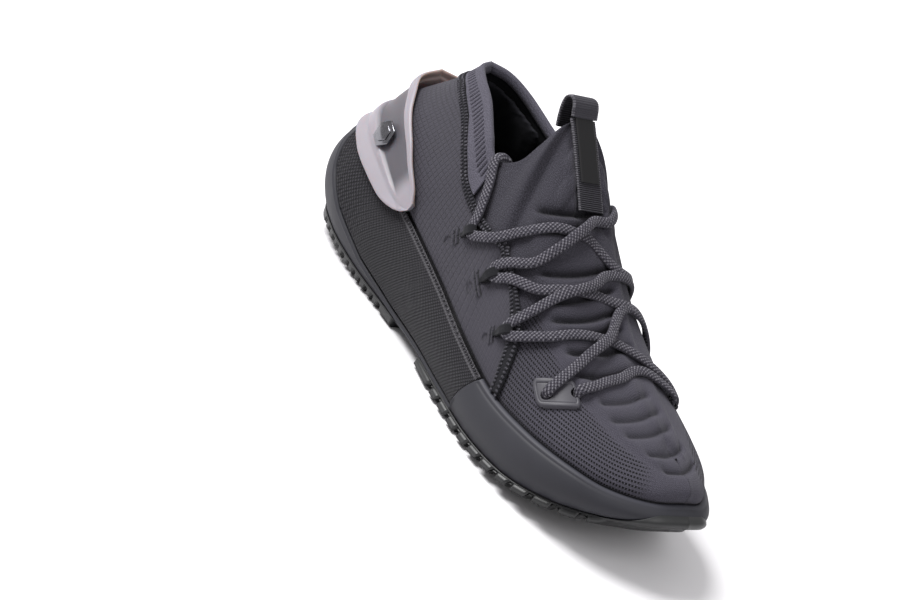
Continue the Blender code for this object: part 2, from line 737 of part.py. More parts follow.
def turn_frame(number, side):
    """Centre, outward normal and the two directions in the surface at a lace turn."""
    place, normal = drape(TURNS[side][number], 0.0)
    forward = Vector((1, 0, 0)) - normal * normal.x
    forward.normalize()
    up = normal.cross(forward) * -side
    if up.z < 0:
        up.negate()
    return place, normal, forward, up


def turn_points(number, side):
    """The lace's bend round a loop, from the leg nearer the toe to the one nearer the heel."""
    place, normal, forward, up = turn_frame(number, side)
    path = []
    for i in range(7):
        angle = math.pi * i / 6
        path.append(place + normal * TURN_LIFT + forward * math.cos(angle) * TURN_R
                    + up * (1 - math.sin(angle)) * TURN_R)
    return path


def turn_side(number, side, ahead):
    """Where a leg meets the bend: on its toe side or on its heel side."""
    place, _, forward, up = turn_frame(number, side)
    return place + forward * (TURN_R if ahead else -TURN_R) + up * TURN_R


def hole_frame(number, side):
    return drape(PATCH_HOLES[side][number], 0.0)


def lace_hole_rods():
    rods = []
    for side in (LATERAL, MEDIAL):
        for number in (0, 1):
            place, normal = hole_frame(number, side)
            rods.append(rod(place - normal * 5, normal * 10, HOLE_R))
    return rods


def through_patch(side):
    """The lace's dip through one eyelet patch: down through one hole and up through the other."""
    path = []
    for number, order in ((1, (5.0, 3.0, 0.0, -2.4)), (0, (-2.4, 0.0, 3.0, 5.0))):
        place, normal = hole_frame(number, side)
        path += [place + normal * depth for depth in order]
    a, na = hole_frame(1, side)
    b, nb = hole_frame(0, side)
    inner = [(a.lerp(b, f) + (na + nb).normalized() * -4.6) for f in (0.25, 0.5, 0.75)]
    return path[:4] + inner + path[4:]


def lace_end(side):
    """From the top turn along the collar, over the rim at its low point and down inside the shoe."""
    rim = Vector(upper(V_POINT - 0.1, 1.0, side))
    outside = Vector(upper(4.55, 0.86, side, 4.9))
    lower = Vector(upper(4.8, 0.7, side, 5.4))
    return [lower, outside, Vector(upper(V_POINT, 0.96, side, 4.6)), rim + Vector((2, side * 1.5, 3.6)),
            rim + Vector((4, -side * 3.0, 3.4)), rim + Vector((7, -side * 6.0, -1.5)),
            rim + Vector((10, -side * 8.0, -10)), rim + Vector((14, -side * 10, -24)),
            rim + Vector((20, -side * 12, -38))]


def build_lace():
    half = {}
    for side in (LATERAL, MEDIAL):
        points = through_patch(side)
        begin, hand, start_lift = hole_frame(0, side)[0], side, 5.0
        for number in (2, 1, 0):
            hand = -hand
            middle = OVER_LIFT if hand == MEDIAL else UNDER_LIFT
            points += leg(begin, turn_side(number, hand, True), start_lift, middle, TURN_LIFT)
            points += turn_points(number, hand)
            begin, start_lift = turn_side(number, hand, False), TURN_LIFT
        points += lace_end(hand)
        half[side] = points
    bar = leg(hole_frame(1, LATERAL)[0], hole_frame(1, MEDIAL)[0], 5.0, 4.0, 5.0)
    cord("lace", evenly(half[LATERAL][::-1] + bar + half[MEDIAL], 3.2), LACE_R, lace_yarn())


def build_aglets():
    """The lace's stiff tips, below its ends inside the shoe."""
    for side, word in ((LATERAL, "lateral"), (MEDIAL, "medial")):
        path = lace_end(side)
        way = (path[-1] - path[-2]).normalized()
        start = path[-1] + way * GAP
        points, faces = rod(start, way * AGLET_LENGTH, AGLET_R, 12)
        mesh_from("aglet_" + word, points, faces, tip_plastic(), solid=True)


def evenly(points, spacing):
    """A smooth polyline through points, with corners at even steps."""
    points = np.array([tuple(p) for p in points])
    steps = np.linalg.norm(np.diff(points, axis=0), axis=1)
    points = points[np.concatenate([[True], steps > 0.5])]
    steps = np.linalg.norm(np.diff(points, axis=0), axis=1)
    run = np.concatenate([[0], np.cumsum(steps)])
    fine = np.linspace(0, run[-1], int(run[-1] / spacing) + 1)
    rows = np.column_stack([run, points])
    curve = np.array([smooth(rows, r) for r in fine])
    curve[1:-1] = (curve[:-2] + 2 * curve[1:-1] + curve[2:]) / 4
    return curve


def build_loops():
    for side, word in ((LATERAL, "lateral"), (MEDIAL, "medial")):
        for number in range(3):
            place, normal, forward, up = turn_frame(number, side)
            profile = [(-9, 2.3), (-3, 2.3), (1, 2.3)]
            profile += [(1.5 + 3.4 * math.cos(a), TURN_LIFT + 3.4 * math.sin(a))
                        for a in np.radians((-60, -30, 0, 30, 60, 90))]
            profile += [(-3.2, 8.9), (-8.6, 4.6)]
            grid = [[place + up * d + normal * n + forward * w for w in (-1.5, 1.5)] for d, n in profile]
            sheet(f"lace_loop_{word}_{number + 1}", [(side, grid)], 0.7, braid())


def build_patches():
    for side, word in ((LATERAL, "lateral"), (MEDIAL, "medial")):
        a, b = (Vector(p) for p in PATCH_HOLES[side])
        grid = []
        for i in np.linspace(-0.5, 1.4, 8):
            grid.append([drape(a.lerp(b, i) + Vector((w, 0, 0)), GAP + 0.9)[0] for w in (-9, -5, -1, 3, 7)])
        patch = sheet("eyelet_patch_" + word, [(side, grid)], 0.9, film())
        cut(patch, "patch_holes_" + word, [r for r in lace_hole_rods() if (r[0][0].y < 0) == (side == LATERAL)])


# ---- pull tab ----------------------------------------------------------------------------------------
def strip(name, profile, half_width, thickness, stuff, face=MEDIAL):
    """A flat band across the middle of the shoe, from the side view of its upper face (or its lower face,
    if face is LATERAL)."""
    grid = [[(x, y, z) for y in (-half_width, half_width)] for x, z in profile]
    return sheet(name, [(face, grid)], thickness, stuff)


def build_pull_tab():
    ridge = [upper(s, 1.0, LATERAL, STRAP_THICK + GAP + 1.5) for s in np.linspace(6.93, 6.08, 8)]
    strap = [(p[0], p[2]) for p in ridge]
    strip("pull_strap", strap, 8, STRAP_THICK, webbing())
    rise = GAP + LABEL_THICK
    label = [(x + 0.66 * rise, z + 0.75 * rise) for x, z in strap[3:7]]
    strip("tab_label", label, 6.6, LABEL_THICK, film())
    fold = [(-29.7, 141.3), (-31.2, 144.2), (-33.4, 146.2), (-36, 146.4), (-38, 144.6), (-38.3, 141), (-37, 136),
            (-34.5, 130)]
    loop = strip("pull_loop", fold, 8, STRAP_THICK, webbing(), LATERAL)
    origin_at(loop, LOOP_AXIS)


def main():
    for item in list(bpy.data.objects):
        bpy.data.objects.remove(item)
    build_carrier()
    build_web()
    build_core()
    build_outsole()
    build_foot_bed()
    build_pads()
    build_bootie()
    build_tongue()
    build_quarter()
    build_collar()
    build_counter()
    build_emblem()
    build_lace()
    build_aglets()
    build_loops()
    build_patches()
    build_pull_tab()


main()
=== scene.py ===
"""Looks of the running shoe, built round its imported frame.

Lengths in this file are millimetres in the shoe's own layout, and become metres in the row frame when a
mesh is made. As in the CAD source, a place on the shoe is a station along it (0 at the heel centre, 12 at
the toe tip) and a height between two of its lines. The functions here take whole arrays of places.
"""

import math
from contextlib import contextmanager
from functools import partialmethod

import bmesh
import bpy
import numpy as np
from mathutils import Matrix, Vector
from mathutils.bvhtree import BVHTree


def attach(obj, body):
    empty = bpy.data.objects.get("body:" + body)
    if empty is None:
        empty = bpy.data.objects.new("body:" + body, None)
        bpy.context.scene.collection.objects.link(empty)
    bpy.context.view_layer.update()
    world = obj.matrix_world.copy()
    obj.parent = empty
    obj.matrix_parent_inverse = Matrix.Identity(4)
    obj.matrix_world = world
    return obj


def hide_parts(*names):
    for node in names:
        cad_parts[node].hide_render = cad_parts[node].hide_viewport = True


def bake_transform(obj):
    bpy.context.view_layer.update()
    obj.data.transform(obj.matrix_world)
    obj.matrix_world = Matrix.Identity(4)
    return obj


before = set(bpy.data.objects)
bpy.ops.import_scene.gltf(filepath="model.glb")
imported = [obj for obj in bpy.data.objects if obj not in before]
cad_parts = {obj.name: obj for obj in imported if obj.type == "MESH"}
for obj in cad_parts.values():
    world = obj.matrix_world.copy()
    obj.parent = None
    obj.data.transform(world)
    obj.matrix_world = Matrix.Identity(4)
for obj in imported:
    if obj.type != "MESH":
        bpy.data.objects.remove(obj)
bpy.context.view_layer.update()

MM = 0.001
SHIFT = np.array((3.68, 3.45, 0.0))
LATERAL, MEDIAL = -1, 1
SIDES = ((LATERAL, "lateral"), (MEDIAL, "medial"))

# ---- dimensions shared with the CAD source -----------------------------------------------------------
GAP = 0.35
KNIT_THICK = 1.6
PANEL_THICK = 0.7
RIB_THICK = 1.1
WEB_THICK = 2.0
WALL = 2.4
BOARD_THICK = 1.4
LINER_HEEL, LINER_TOE = 5.5, 4.0
TREAD = 4.65
UNDER_LIFT, OVER_LIFT = 2.4, 5.0     # height of the lace over the knit, below and above another run
LACE_WIDE, LACE_THICK = 5.3, 2.7
LACE_STEP, STRAND = 0.55, 2.1        # spacing of its sections, and pitch of its braid
STRAP_HALF, WEBBING_THICK = 8, 1.1
TURN_LIFT, TURN_R = 3.5, 3.4         # height and radius of its turns through the loops
EMBLEM_STATION = 2.2
SEAM = 6.72                          # station of the seam between the web and the bare foam
V_POINT = 4.4                        # station where the tongue's edge meets the collar
HOLE_LIFT = 3.2                      # height of the lace where it comes out of the patch

# ---- lines of the shoe: station, x, y to the lateral side, y to the medial side, z -------------------
GROUND_EDGE = [(0, -147, 0, 0, 15), (1, -138, 30, 28, 12), (2, -116, 38, 36, 8), (3, -84, 40, 37, 5.4),
               (4, -50, 39.5, 33, 4.65), (5, -15, 41, 32, 4.65), (6, 20, 46, 36, 4.65), (7, 55, 50, 42, 4.9),
               (8, 88, 50, 43.5, 8.5), (9, 113, 42, 39, 14.5), (10, 129, 30, 31, 20.5), (11, 139, 12, 20, 25),
               (12, 141.5, -7, 7, 26.5)]
WIDEST = [(0, -157, 0, 0, 22), (1, -148, 34, 32, 20.5), (2, -123, 44.5, 42, 18.5), (3, -88, 46, 43, 17.5),
          (4, -50, 45.5, 38.5, 17), (5, -15, 47, 37, 16), (6, 20, 51, 41, 14), (7, 55, 54.5, 46.5, 13.5),
          (8, 90, 53.5, 47.5, 17), (9, 116, 45.5, 43, 24.5), (10, 133.5, 32.5, 34, 30),
          (11, 144.5, 13, 21, 33.5),
          (12, 147.5, -7, 7, 34.5)]
BITE = [(0, -147, 0, 0, 68), (1, -139, 25, 24, 66.5), (2, -118, 36.5, 34.5, 62.5), (3, -86, 41.5, 39, 56.5),
        (4, -50, 43.5, 38.5, 49.5), (5, -15, 46, 39, 43), (6, 20, 49.5, 41, 36), (7, 55, 51.5, 44, 31),
        (8, 88, 50.5, 45, 32.5), (9, 114.5, 43, 41, 34.5), (10, 130.5, 31, 32, 35), (11, 141, 12, 20, 36.5),
        (12, 143.5, -7, 7, 38)]
FOOTBED = [(0, -134, 0, 0, 34), (1, -128, 19, 19, 33), (2, -112, 28, 27, 32), (3, -84, 31, 29, 31),
           (4, -50, 31.5, 27, 29), (5, -15, 33, 26, 26), (6, 20, 37, 30, 23), (7, 55, 41, 35, 21.5),
           (8, 88, 41, 36, 23.5), (9, 110, 34, 33, 26.5), (10, 124.5, 23, 24, 29), (11, 133, 8, 14.5, 31),
           (12, 135, -7, 7, 31.5)]
# Collar rim of each side, then the edge of the tongue up to its top centre.
RIM = {LATERAL: [(0, -107, 0, 123), (1, -101, 9, 123), (2, -88, 16, 122.5), (3, -70, 22, 119.5),
                 (3.8, -50, 28.5, 111), (V_POINT, -38, 30, 104.5), (4.9, -27, 26.5, 111), (5.4, -26, 19, 123),
                 (5.75, -28, 10.5, 133), (6, -31, 0, 137.5)],
       MEDIAL: [(0, -107, 0, 123), (1, -101, 10, 121.5), (2, -90, 18, 117), (3, -70, 24, 110),
                (3.8, -50, 27, 105), (V_POINT, -38, 27, 102.5), (4.9, -27, 24.5, 111), (5.4, -26, 18, 123),
                (5.75, -28, 10, 133), (6, -31, 0, 137.5)]}
# Middle of the tongue and of the instep down to the toe, where the two sides meet.
RIDGE = [(6, -31, 0, 0, 137.5), (6.35, -19, 0, 0, 127.5), (6.7, -5, 0, 0, 115), (7, 8, 0, 0, 103.5),
         (7.5, 25, 0, 0, 90), (8, 40, 0, 0, 79.5), (8.5, 55, -0.5, 0.5, 71), (9, 69, -1.5, 1.5, 64.5),
         (9.5, 82, -3, 3, 60), (10, 94, -4, 4, 56.8), (11, 113, -6, 6, 52.5), (12, 124, -7, 7, 50)]
# Bend of the upper's sections: how far each end runs straight on, as x, outwards y and z.
RISE = [(0, -3, 0, 18), (1, -2, 2, 18), (2, -1, 3, 18), (3, 0, 3, 17), (4, 0, 2, 16), (5, 0, 2, 18),
        (6, 0, 2, 20), (7, 0, 3, 18), (8, 1, 3, 14), (9, 2, 3, 12), (10, 3, 2, 10), (11, 4, 1, 9),
        (12, 5, 0, 9)]
CREST = [(0, -8, 0, -18), (1, -7, 3, -18), (2, -4, 6, -17), (3, 0, 7, -16), (4, 1, 6, -14), (4.4, 3, 5, -10),
         (5, 12, 8, -12), (5.5, 12, 13, -9), (6, 6, 16, -4), (6.5, 9, 17, 0), (7, 9, 18, 0), (8, 6, 19, 0),
         (9, 4, 18, 0), (10, 4, 15, 0), (11, 7, 9, 0), (12, 11, 0, 0)]

# ---- seams, as station and height --------------------------------------------------------------------
BRAID_LINE = [(0, 0.8), (1, 0.8), (2, 0.79), (3, 0.75), (4, 0.66), (5, 0.5), (6, 0.4), (6.6, 0.37),
              (6.92, 0.31), (7.03, 0.16), (7.05, 0.03)]
CARRIER_SHARE = [(0, 1.0), (0.6, 0.98), (1.3, 0.78), (1.8, 0.52), (2.4, 0.32), (3.2, 0.17), (4.2, 0.1),
                 (SEAM - 0.3, 0.1), (SEAM, 1.0), (12, 1.0)]
TONGUE_LINE = [(V_POINT, 1.0), (4.7, 0.92), (5, 0.83), (5.4, 0.71), (6, 0.62), (6.5, 0.68), (6.8, 0.82),
               (7.0, 1.0)]
COUNTER_LOW = [(0, 70), (1.05, 62), (1.75, 57.5), (2.53, 52.5), (3.1, 49.5), (3.4, 50.5),
               (3.58, 53), (3.68, 56)]
COUNTER_HIGH = [(0, 100), (0.9, 98), (1.5, 95), (2.05, 89.5), (2.7, 81), (3.2, 72), (3.5, 66), (3.68, 60.5)]
COUNTER_FLARE = [(0, 11), (0.9, 8), (1.5, 4), (2.1, 1.5), (2.7, 0)]

# ---- lace, as points near the surface of the upper: x, y to the side, z -------------------------------
TURNS = {LATERAL: [(-20, -40, 71.5), (11, -41.5, 64), (37.5, -43.5, 55.5)],
         MEDIAL: [(-20, 38, 64), (11, 37.5, 56), (37.5, 38, 50)]}
PATCH_HOLES = {LATERAL: [(79.5, -42.5, 49.2), (85.5, -32.5, 55.7)],
               MEDIAL: [(79.5, 38, 49.5), (85.5, 29.5, 55.5)]}


# ---- curves and surfaces, for arrays of stations and heights ------------------------------------------
def smooth(table, at):
    """Smooth curve through the rows of a table, whose first column is the parameter."""
    rows = np.asarray(table, float)
    knots, values = rows[:, 0], rows[:, 1:]
    at = np.clip(np.asarray(at, float), knots[0], knots[-1])
    last = len(knots) - 1
    i = np.clip(np.searchsorted(knots, at, side="right") - 1, 0, last - 1)
    before = np.maximum(np.arange(last + 1) - 1, 0)
    after = np.minimum(np.arange(last + 1) + 1, last)
    slopes = (values[after] - values[before]) / (knots[after] - knots[before])[:, None]
    width = (knots[i + 1] - knots[i])[..., None]
    f = (at - knots[i])[..., None] / width
    return ((2 * f ** 3 - 3 * f ** 2 + 1) * values[i] + (f ** 3 - 2 * f ** 2 + f) * width * slopes[i]
            + (3 * f ** 2 - 2 * f ** 3) * values[i + 1] + (f ** 3 - f ** 2) * width * slopes[i + 1])


def straight(pairs, at):
    return np.interp(at, [p[0] for p in pairs], [p[1] for p in pairs])


def ease(x):
    """Smooth step from 0 to 1 as x goes from 0 to 1."""
    x = np.clip(x, 0, 1)
    return x * x * (3 - 2 * x)


def rounded(x):
    """Quarter circle from 0 to 1 as x goes from 0 to 1."""
    return np.sqrt(np.clip(1 - (1 - np.clip(x, 0, 1)) ** 2, 0, 1))


def waves(x, period):
    """0 to 1 and back over each period."""
    return 0.5 - 0.5 * np.cos(2 * math.pi * x / period)


def unit(vectors):
    return vectors / np.linalg.norm(vectors, axis=-1, keepdims=True)


def window(x, low, high, soft):
    """1 between low and high, falling to 0 over soft outside them."""
    return ease((x - low) / soft + 1) * ease((high - x) / soft + 1)


def line(table, s, side):
    row = smooth(table, s)
    y = -row[..., 1] if side == LATERAL else row[..., 2]
    return np.stack([row[..., 0], y, row[..., 3]], -1)


def top_line(s, side):
    row = smooth(RIM[side], s)
    rim = np.stack([row[..., 0], side * row[..., 1], row[..., 2]], -1)
    return np.where((np.asarray(s) >= 6)[..., None], line(RIDGE, s, side), rim)


def outwards(s, side):
    """Level unit vectors square to the widest line, pointing away from the shoe."""
    s = np.asarray(s, float)
    run = line(WIDEST, s + 0.02, side) - line(WIDEST, s - 0.02, side)
    across = np.stack([-run[..., 1], run[..., 0], np.zeros_like(s)], -1) * side
    across = unit(across)
    tip, heel = ease((s - 11.6) / 0.38)[..., None], ease((0.3 - s) / 0.28)[..., None]
    across = across * (1 - tip) * (1 - heel) + tip * np.array((1.0, 0, 0)) - heel * np.array((1.0, 0, 0))
    return unit(across)


def wall(s, t, side, inset=0.0):
    """Outside of the midsole: t is 0 at the ground edge and 1 at the bite line."""
    low, mid, high = (line(table, s, side) for table in (GROUND_EDGE, WIDEST, BITE))
    share = 0.32
    t = np.asarray(t, float)[..., None]
    pull = (mid - (1 - share) ** 2 * low - share ** 2 * high) / (2 * share * (1 - share))
    point = (1 - t) ** 2 * low + 2 * t * (1 - t) * pull + t ** 2 * high
    point[..., 2] = low[..., 2] + (high[..., 2] - low[..., 2]) * t[..., 0]
    return point - outwards(s, side) * np.asarray(inset, float)[..., None]


def skirt(s, f, side, away=0.0):
    """Outside of the upper below the bite line: f is 0 at the bite line and 1 at the lasting board."""
    level = outwards(s, side)
    high = line(BITE, s, side) - level * (WALL + GAP)
    low = line(FOOTBED, s, side) + level * 2.6
    low[..., 2] -= BOARD_THICK
    return high + (low - high) * np.asarray(f, float)[..., None] + level * away


def upper_face(s, v, side):
    """Outside of the knitted bootie: v is 0 at the bite line and 1 at the rim or the ridge."""
    level = outwards(s, side)
    low = line(BITE, s, side) - level * (WALL + GAP)
    high = top_line(s, side)
    rise, crest = smooth(RISE, s), smooth(CREST, s)
    a = low + level * rise[..., 1:2]
    a = a + np.stack([rise[..., 0], np.zeros_like(rise[..., 0]), rise[..., 2]], -1)
    b = high + crest * (1, side, 1)
    v = np.asarray(v, float)[..., None]
    return (1 - v) ** 3 * low + 3 * v * (1 - v) ** 2 * a + 3 * v * v * (1 - v) * b + v ** 3 * high


def upper(s, v, side):
    """Points on the bootie and the directions out of it. Where the two sides meet, the direction stays in
    the shoe's middle plane, so that both sides give the same one."""
    s, v = np.broadcast_arrays(np.asarray(s, float), np.asarray(v, float))
    point = upper_face(s, v, side)
    s0, s1 = np.maximum(s - 0.03, 0), np.minimum(s + 0.03, 12)
    v0, v1 = np.maximum(v - 0.02, 0), np.minimum(v + 0.02, 1)
    along = upper_face(s1, v, side) - upper_face(s0, v, side)
    up = upper_face(s, v1, side) - upper_face(s, v0, side)
    normal = np.cross(along, up) * -side
    middle = np.minimum(ease(s / 0.35), ease((12 - s) / 0.25))
    middle = np.minimum(middle, np.where(s >= 6, ease((1 - v) / 0.12), 1.0))
    normal[..., 1] *= middle
    return point, unit(normal)


def bed(s):
    return smooth(FOOTBED, s)[..., 3]


def centre(table, s, z):
    x = smooth(table, s)[..., 0]
    return np.stack([x, np.interp(x, (-140, 30, 139), (0, 0, 8)), np.broadcast_to(z, x.shape)], -1)


def arc(points):
    """Length along the last-but-one axis of a row of points."""
    steps = np.linalg.norm(np.diff(points, axis=-2), axis=-1)
    return np.concatenate([np.zeros(steps.shape[:-1] + (1,)), np.cumsum(steps, -1)], -1)


FINE = np.linspace(0, 12, 481)
RUN = {side: arc(upper_face(FINE, np.full_like(FINE, 0.4), side)) for side in (LATERAL, MEDIAL)}
SOLE_RUN = {side: arc(wall(FINE, np.full_like(FINE, 0.4), side)) for side in (LATERAL, MEDIAL)}


def lay(along, over, third=0.0):
    """Places for a material's pattern, from lengths along and over a piece."""
    return np.stack(np.broadcast_arrays(along, over, third), -1)


def cloth(s, v, side):
    """Lengths along and up the upper, for the weave of a material to follow."""
    return lay(np.interp(s, FINE, RUN[side]) * side, arc(upper_face(s[:, :1] + 0 * v, v, side)), float(side))


def spread(s, low, high, count):
    """Stations and heights of a grid, with count heights from low to high at each station."""
    low, high = (np.broadcast_to(height, s.shape)[:, None] for height in (low, high))
    return np.broadcast_arrays(s[:, None], low + (high - low) * np.linspace(0, 1, count))


def stations(first, last, step, v=0.4, side=LATERAL):
    """Stations spaced evenly along the shoe, step apart."""
    s = np.linspace(first, last, 400)
    run = arc(upper_face(s, np.full_like(s, v), side))
    return np.interp(np.linspace(0, run[-1], int(run[-1] / step) + 2), run, s)


# ---- objects -----------------------------------------------------------------------------------------
def row_point(x, y, z):
    """A point of this file's layout as metres in the row frame."""
    return tuple((np.array((x, y, z)) + SHIFT) * MM)


@contextmanager
def edited(data):
    """A mesh opened as a bmesh, and written back at the end."""
    work = bmesh.new()
    work.from_mesh(data)
    yield work
    work.to_mesh(data)
    work.free()


def object_from(name, points, faces, stuff, attributes=None, merge=0.02):
    """A mesh object from points in millimetres; points that coincide become one."""
    data = bpy.data.meshes.new(name)
    points = (np.asarray(points, float).reshape(-1, 3) + SHIFT) * MM
    data.from_pydata(points.tolist(), [], faces)
    for word, values in (attributes or {}).items():
        values = np.asarray(values, np.float32)
        vector = values.ndim == 2
        layer = data.attributes.new(word, "FLOAT_VECTOR" if vector else "FLOAT", "POINT")
        layer.data.foreach_set("vector" if vector else "value", values.ravel())
    if merge:
        with edited(data) as work:
            bmesh.ops.remove_doubles(work, verts=work.verts, dist=merge * MM)
    data.shade_smooth()
    data.materials.append(stuff)
    made = bpy.data.objects.new(name, data)
    bpy.context.scene.collection.objects.link(made)
    return made


def grid_faces(rows, columns, start=0, flip=False, wrap=False):
    a = start + (np.arange(rows - 1)[:, None] * columns + np.arange(columns if wrap else columns - 1))
    b = start + (np.arange(rows - 1)[:, None] * columns
                 + (np.arange(columns if wrap else columns - 1) + 1) % columns)
    quads = np.stack([a, b, b + columns, a + columns], -1).reshape(-1, 4)
    return (quads[:, ::-1] if flip else quads).tolist()


def apply_modifiers(made):
    """Leave the mesh as its modifiers make it."""
    graph = bpy.context.evaluated_depsgraph_get()
    data = bpy.data.meshes.new_from_object(made.evaluated_get(graph))
    made.modifiers.clear()
    made.data = data
    return made


def thicken(made, thickness, lining=None):
    """Give a sheet its thickness, inwards, with another material on its inner face where one is given."""
    layer = made.modifiers.new("thickness", "SOLIDIFY")
    layer.thickness = thickness * MM
    layer.offset = -1.0
    if lining:
        made.data.materials.append(lining)
        layer.material_offset = 1
    return apply_modifiers(made)


def sheet_piece(name, patches, thickness, stuff):
    """A panel with its outer face through grids of points: (side, grid, {attribute: values}) each."""
    points, faces, values = [], [], {}
    start = 0
    for side, grid, extra in patches:
        rows, columns = grid.shape[:2]
        faces += grid_faces(rows, columns, start, side == LATERAL)
        points.append(grid.reshape(-1, 3))
        start += rows * columns
        for word, value in extra.items():
            value = np.asarray(value, float)
            values.setdefault(word, []).append(value.reshape(rows * columns, *value.shape[2:]))
    values = {word: np.concatenate(parts) for word, parts in values.items()}
    made = object_from(name, np.concatenate(points), faces, stuff, values)
    return thicken(made, thickness) if thickness else made


def rings_piece(name, rings, stuff, attributes=None, caps=True):
    """A solid through closed rings of points."""
    rings = np.asarray(rings, float)
    count, around = rings.shape[:2]
    faces = grid_faces(count, around, 0, False, wrap=True)
    if caps:
        faces.append(list(range(around))[::-1])
        faces.append(list(range((count - 1) * around, count * around)))
    made = object_from(name, rings, faces, stuff, attributes)
    turn_out(made)
    return made


def turn_out(made):
    """Turn the faces of a closed mesh outwards."""
    with edited(made.data) as work:
        bmesh.ops.recalc_face_normals(work, faces=work.faces)
        if work.calc_volume(signed=True) < 0:
            bmesh.ops.reverse_faces(work, faces=work.faces)


def place(made, body, slot, *nodes):
    """Put a piece on its body, in the place of its CAD nodes."""
    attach(made, body)
    if nodes:
        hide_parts(*nodes)
    return made


def beads(name, places, along, up, stuff, size):
    """Short rounded stitches, joined in one mesh: centres, unit directions along and out, and half
    length, half width and half height."""
    places, along, up = (np.asarray(a, float) for a in (places, along, up))
    across = unit(np.cross(up, along))
    half_length, half_width, half_height = size
    rings, around = 7, 6
    f = np.linspace(-1, 1, rings)
    swell = np.sqrt(np.maximum(1 - np.abs(f) ** 2.6, 0.0))
    swell[0] = swell[-1] = 0.18
    turn = np.arange(around) * 2 * math.pi / around
    shape = np.stack(np.broadcast_arrays(
        (f * half_length)[:, None], swell[:, None] * np.cos(turn) * half_width,
        swell[:, None] * np.sin(turn) * half_height), -1).reshape(-1, 3)
    axes = np.stack([along, across, up], 1)
    points = places[:, None, :] + np.einsum("pk,nkc->npc", shape, axes)
    each = len(shape)
    faces = []
    for n in range(len(places)):
        start = n * each
        faces += grid_faces(len(f), around, start, False, wrap=True)
        faces.append([start + j for j in range(around)][::-1])
        faces.append([start + each - around + j for j in range(around)])
    share = np.tile(np.repeat(f, around) * half_length, len(places))
    which = np.repeat(np.arange(len(places), dtype=float), each)
    return object_from(name, points, faces, stuff, {"cloth": lay(share, which * 1.37)}, merge=0)


# ---- materials ---------------------------------------------------------------------------------------
class Finish:
    """A procedural material: a Principled shader and the nodes that feed its colour, roughness and bump."""

    def __init__(self, name, roughness, **sockets):
        self.material = bpy.data.materials.new(name)
        self.material.use_nodes = True
        self.tree = self.material.node_tree
        self.shader = self.tree.nodes["Principled BSDF"]
        self.shader.inputs["Roughness"].default_value = roughness
        for word, value in sockets.items():
            self.shader.inputs[word.replace("_", " ")].default_value = value
        self.height = None

    def feed(self, node, index, value):
        if isinstance(value, bpy.types.NodeSocket):
            self.tree.links.new(value, node.inputs[index])
        elif value is not None:
            node.inputs[index].default_value = value

    def named(self, word, vector=False):
        """A value kept in the mesh."""
        node = self.tree.nodes.new("ShaderNodeAttribute")
        node.attribute_name = word
        return node.outputs["Vector" if vector else "Fac"]

    def math(self, kind, a, b=None, c=None):
        node = self.tree.nodes.new("ShaderNodeMath")
        node.operation = kind
        for index, value in enumerate((a, b, c)):
            self.feed(node, index, value)
        return node.outputs[0]

    times, plus = partialmethod(math, "MULTIPLY"), partialmethod(math, "ADD")
    minus, over = partialmethod(math, "SUBTRACT"), partialmethod(math, "DIVIDE")
    size, part = partialmethod(math, "ABSOLUTE"), partialmethod(math, "FRACT")
    times_plus, larger = partialmethod(math, "MULTIPLY_ADD"), partialmethod(math, "MAXIMUM")

    def split(self, vector):
        node = self.tree.nodes.new("ShaderNodeSeparateXYZ")
        self.feed(node, 0, vector)
        return node.outputs

    def join(self, x, y, z=0.0):
        node = self.tree.nodes.new("ShaderNodeCombineXYZ")
        for index, value in enumerate((x, y, z)):
            self.feed(node, index, value)
        return node.outputs[0]

    def noise(self, vector, scale, detail=2.0, rough=0.5):
        node = self.tree.nodes.new("ShaderNodeTexNoise")
        self.feed(node, "Vector", vector)
        node.inputs["Scale"].default_value = scale
        node.inputs["Detail"].default_value = detail
        node.inputs["Roughness"].default_value = rough
        return node.outputs["Fac"]

    def object_place(self):
        return self.tree.nodes.new("ShaderNodeTexCoord").outputs["Object"]

    def between(self, value, low, high):
        """0 below low and 1 above high, smoothly."""
        node = self.tree.nodes.new("ShaderNodeMapRange")
        node.interpolation_type = "SMOOTHSTEP"
        self.feed(node, "Value", value)
        self.feed(node, "From Min", low)
        self.feed(node, "From Max", high)
        return node.outputs["Result"]

    def wave(self, value, period, phase=0.0):
        """0 to 1 and back over each period."""
        turn = self.times_plus(value, 2 * math.pi / period, phase)
        return self.times_plus(self.math("COSINE", turn), -0.5, 0.5)

    def mix(self, factor, a, b):
        node = self.tree.nodes.new("ShaderNodeMix")
        node.data_type = "RGBA"
        self.feed(node, 0, factor)
        for index, value in ((6, a), (7, b)):
            self.feed(node, index, (*value, 1.0) if isinstance(value, tuple) else value)
        return node.outputs[2]

    def colour(self, value):
        self.tree.links.new(value, self.shader.inputs["Base Color"])

    def rough(self, value, low, high):
        node = self.tree.nodes.new("ShaderNodeMapRange")
        self.feed(node, "Value", value)
        node.inputs["To Min"].default_value = low
        node.inputs["To Max"].default_value = high
        self.tree.links.new(node.outputs["Result"], self.shader.inputs["Roughness"])

    def bump(self, height, depth, strength=1.0):
        """Raise the surface by a height from 0 to 1, depth millimetres at most."""
        node = self.tree.nodes.new("ShaderNodeBump")
        node.inputs["Strength"].default_value = strength
        node.inputs["Distance"].default_value = depth * MM
        self.feed(node, "Height", height)
        if self.height is not None:
            self.tree.links.new(self.height, node.inputs["Normal"])
        self.height = node.outputs[0]
        self.tree.links.new(self.height, self.shader.inputs["Normal"])


def shade(colour, amount):
    return tuple(c * amount for c in colour)


KNIT_COLOUR = (0.0325, 0.0308, 0.0395)
RIPSTOP_COLOUR = (0.031, 0.029, 0.038)
FOAM_COLOUR = (0.0195, 0.0195, 0.0245)
MESH_COLOUR = (0.0108, 0.0102, 0.0134)


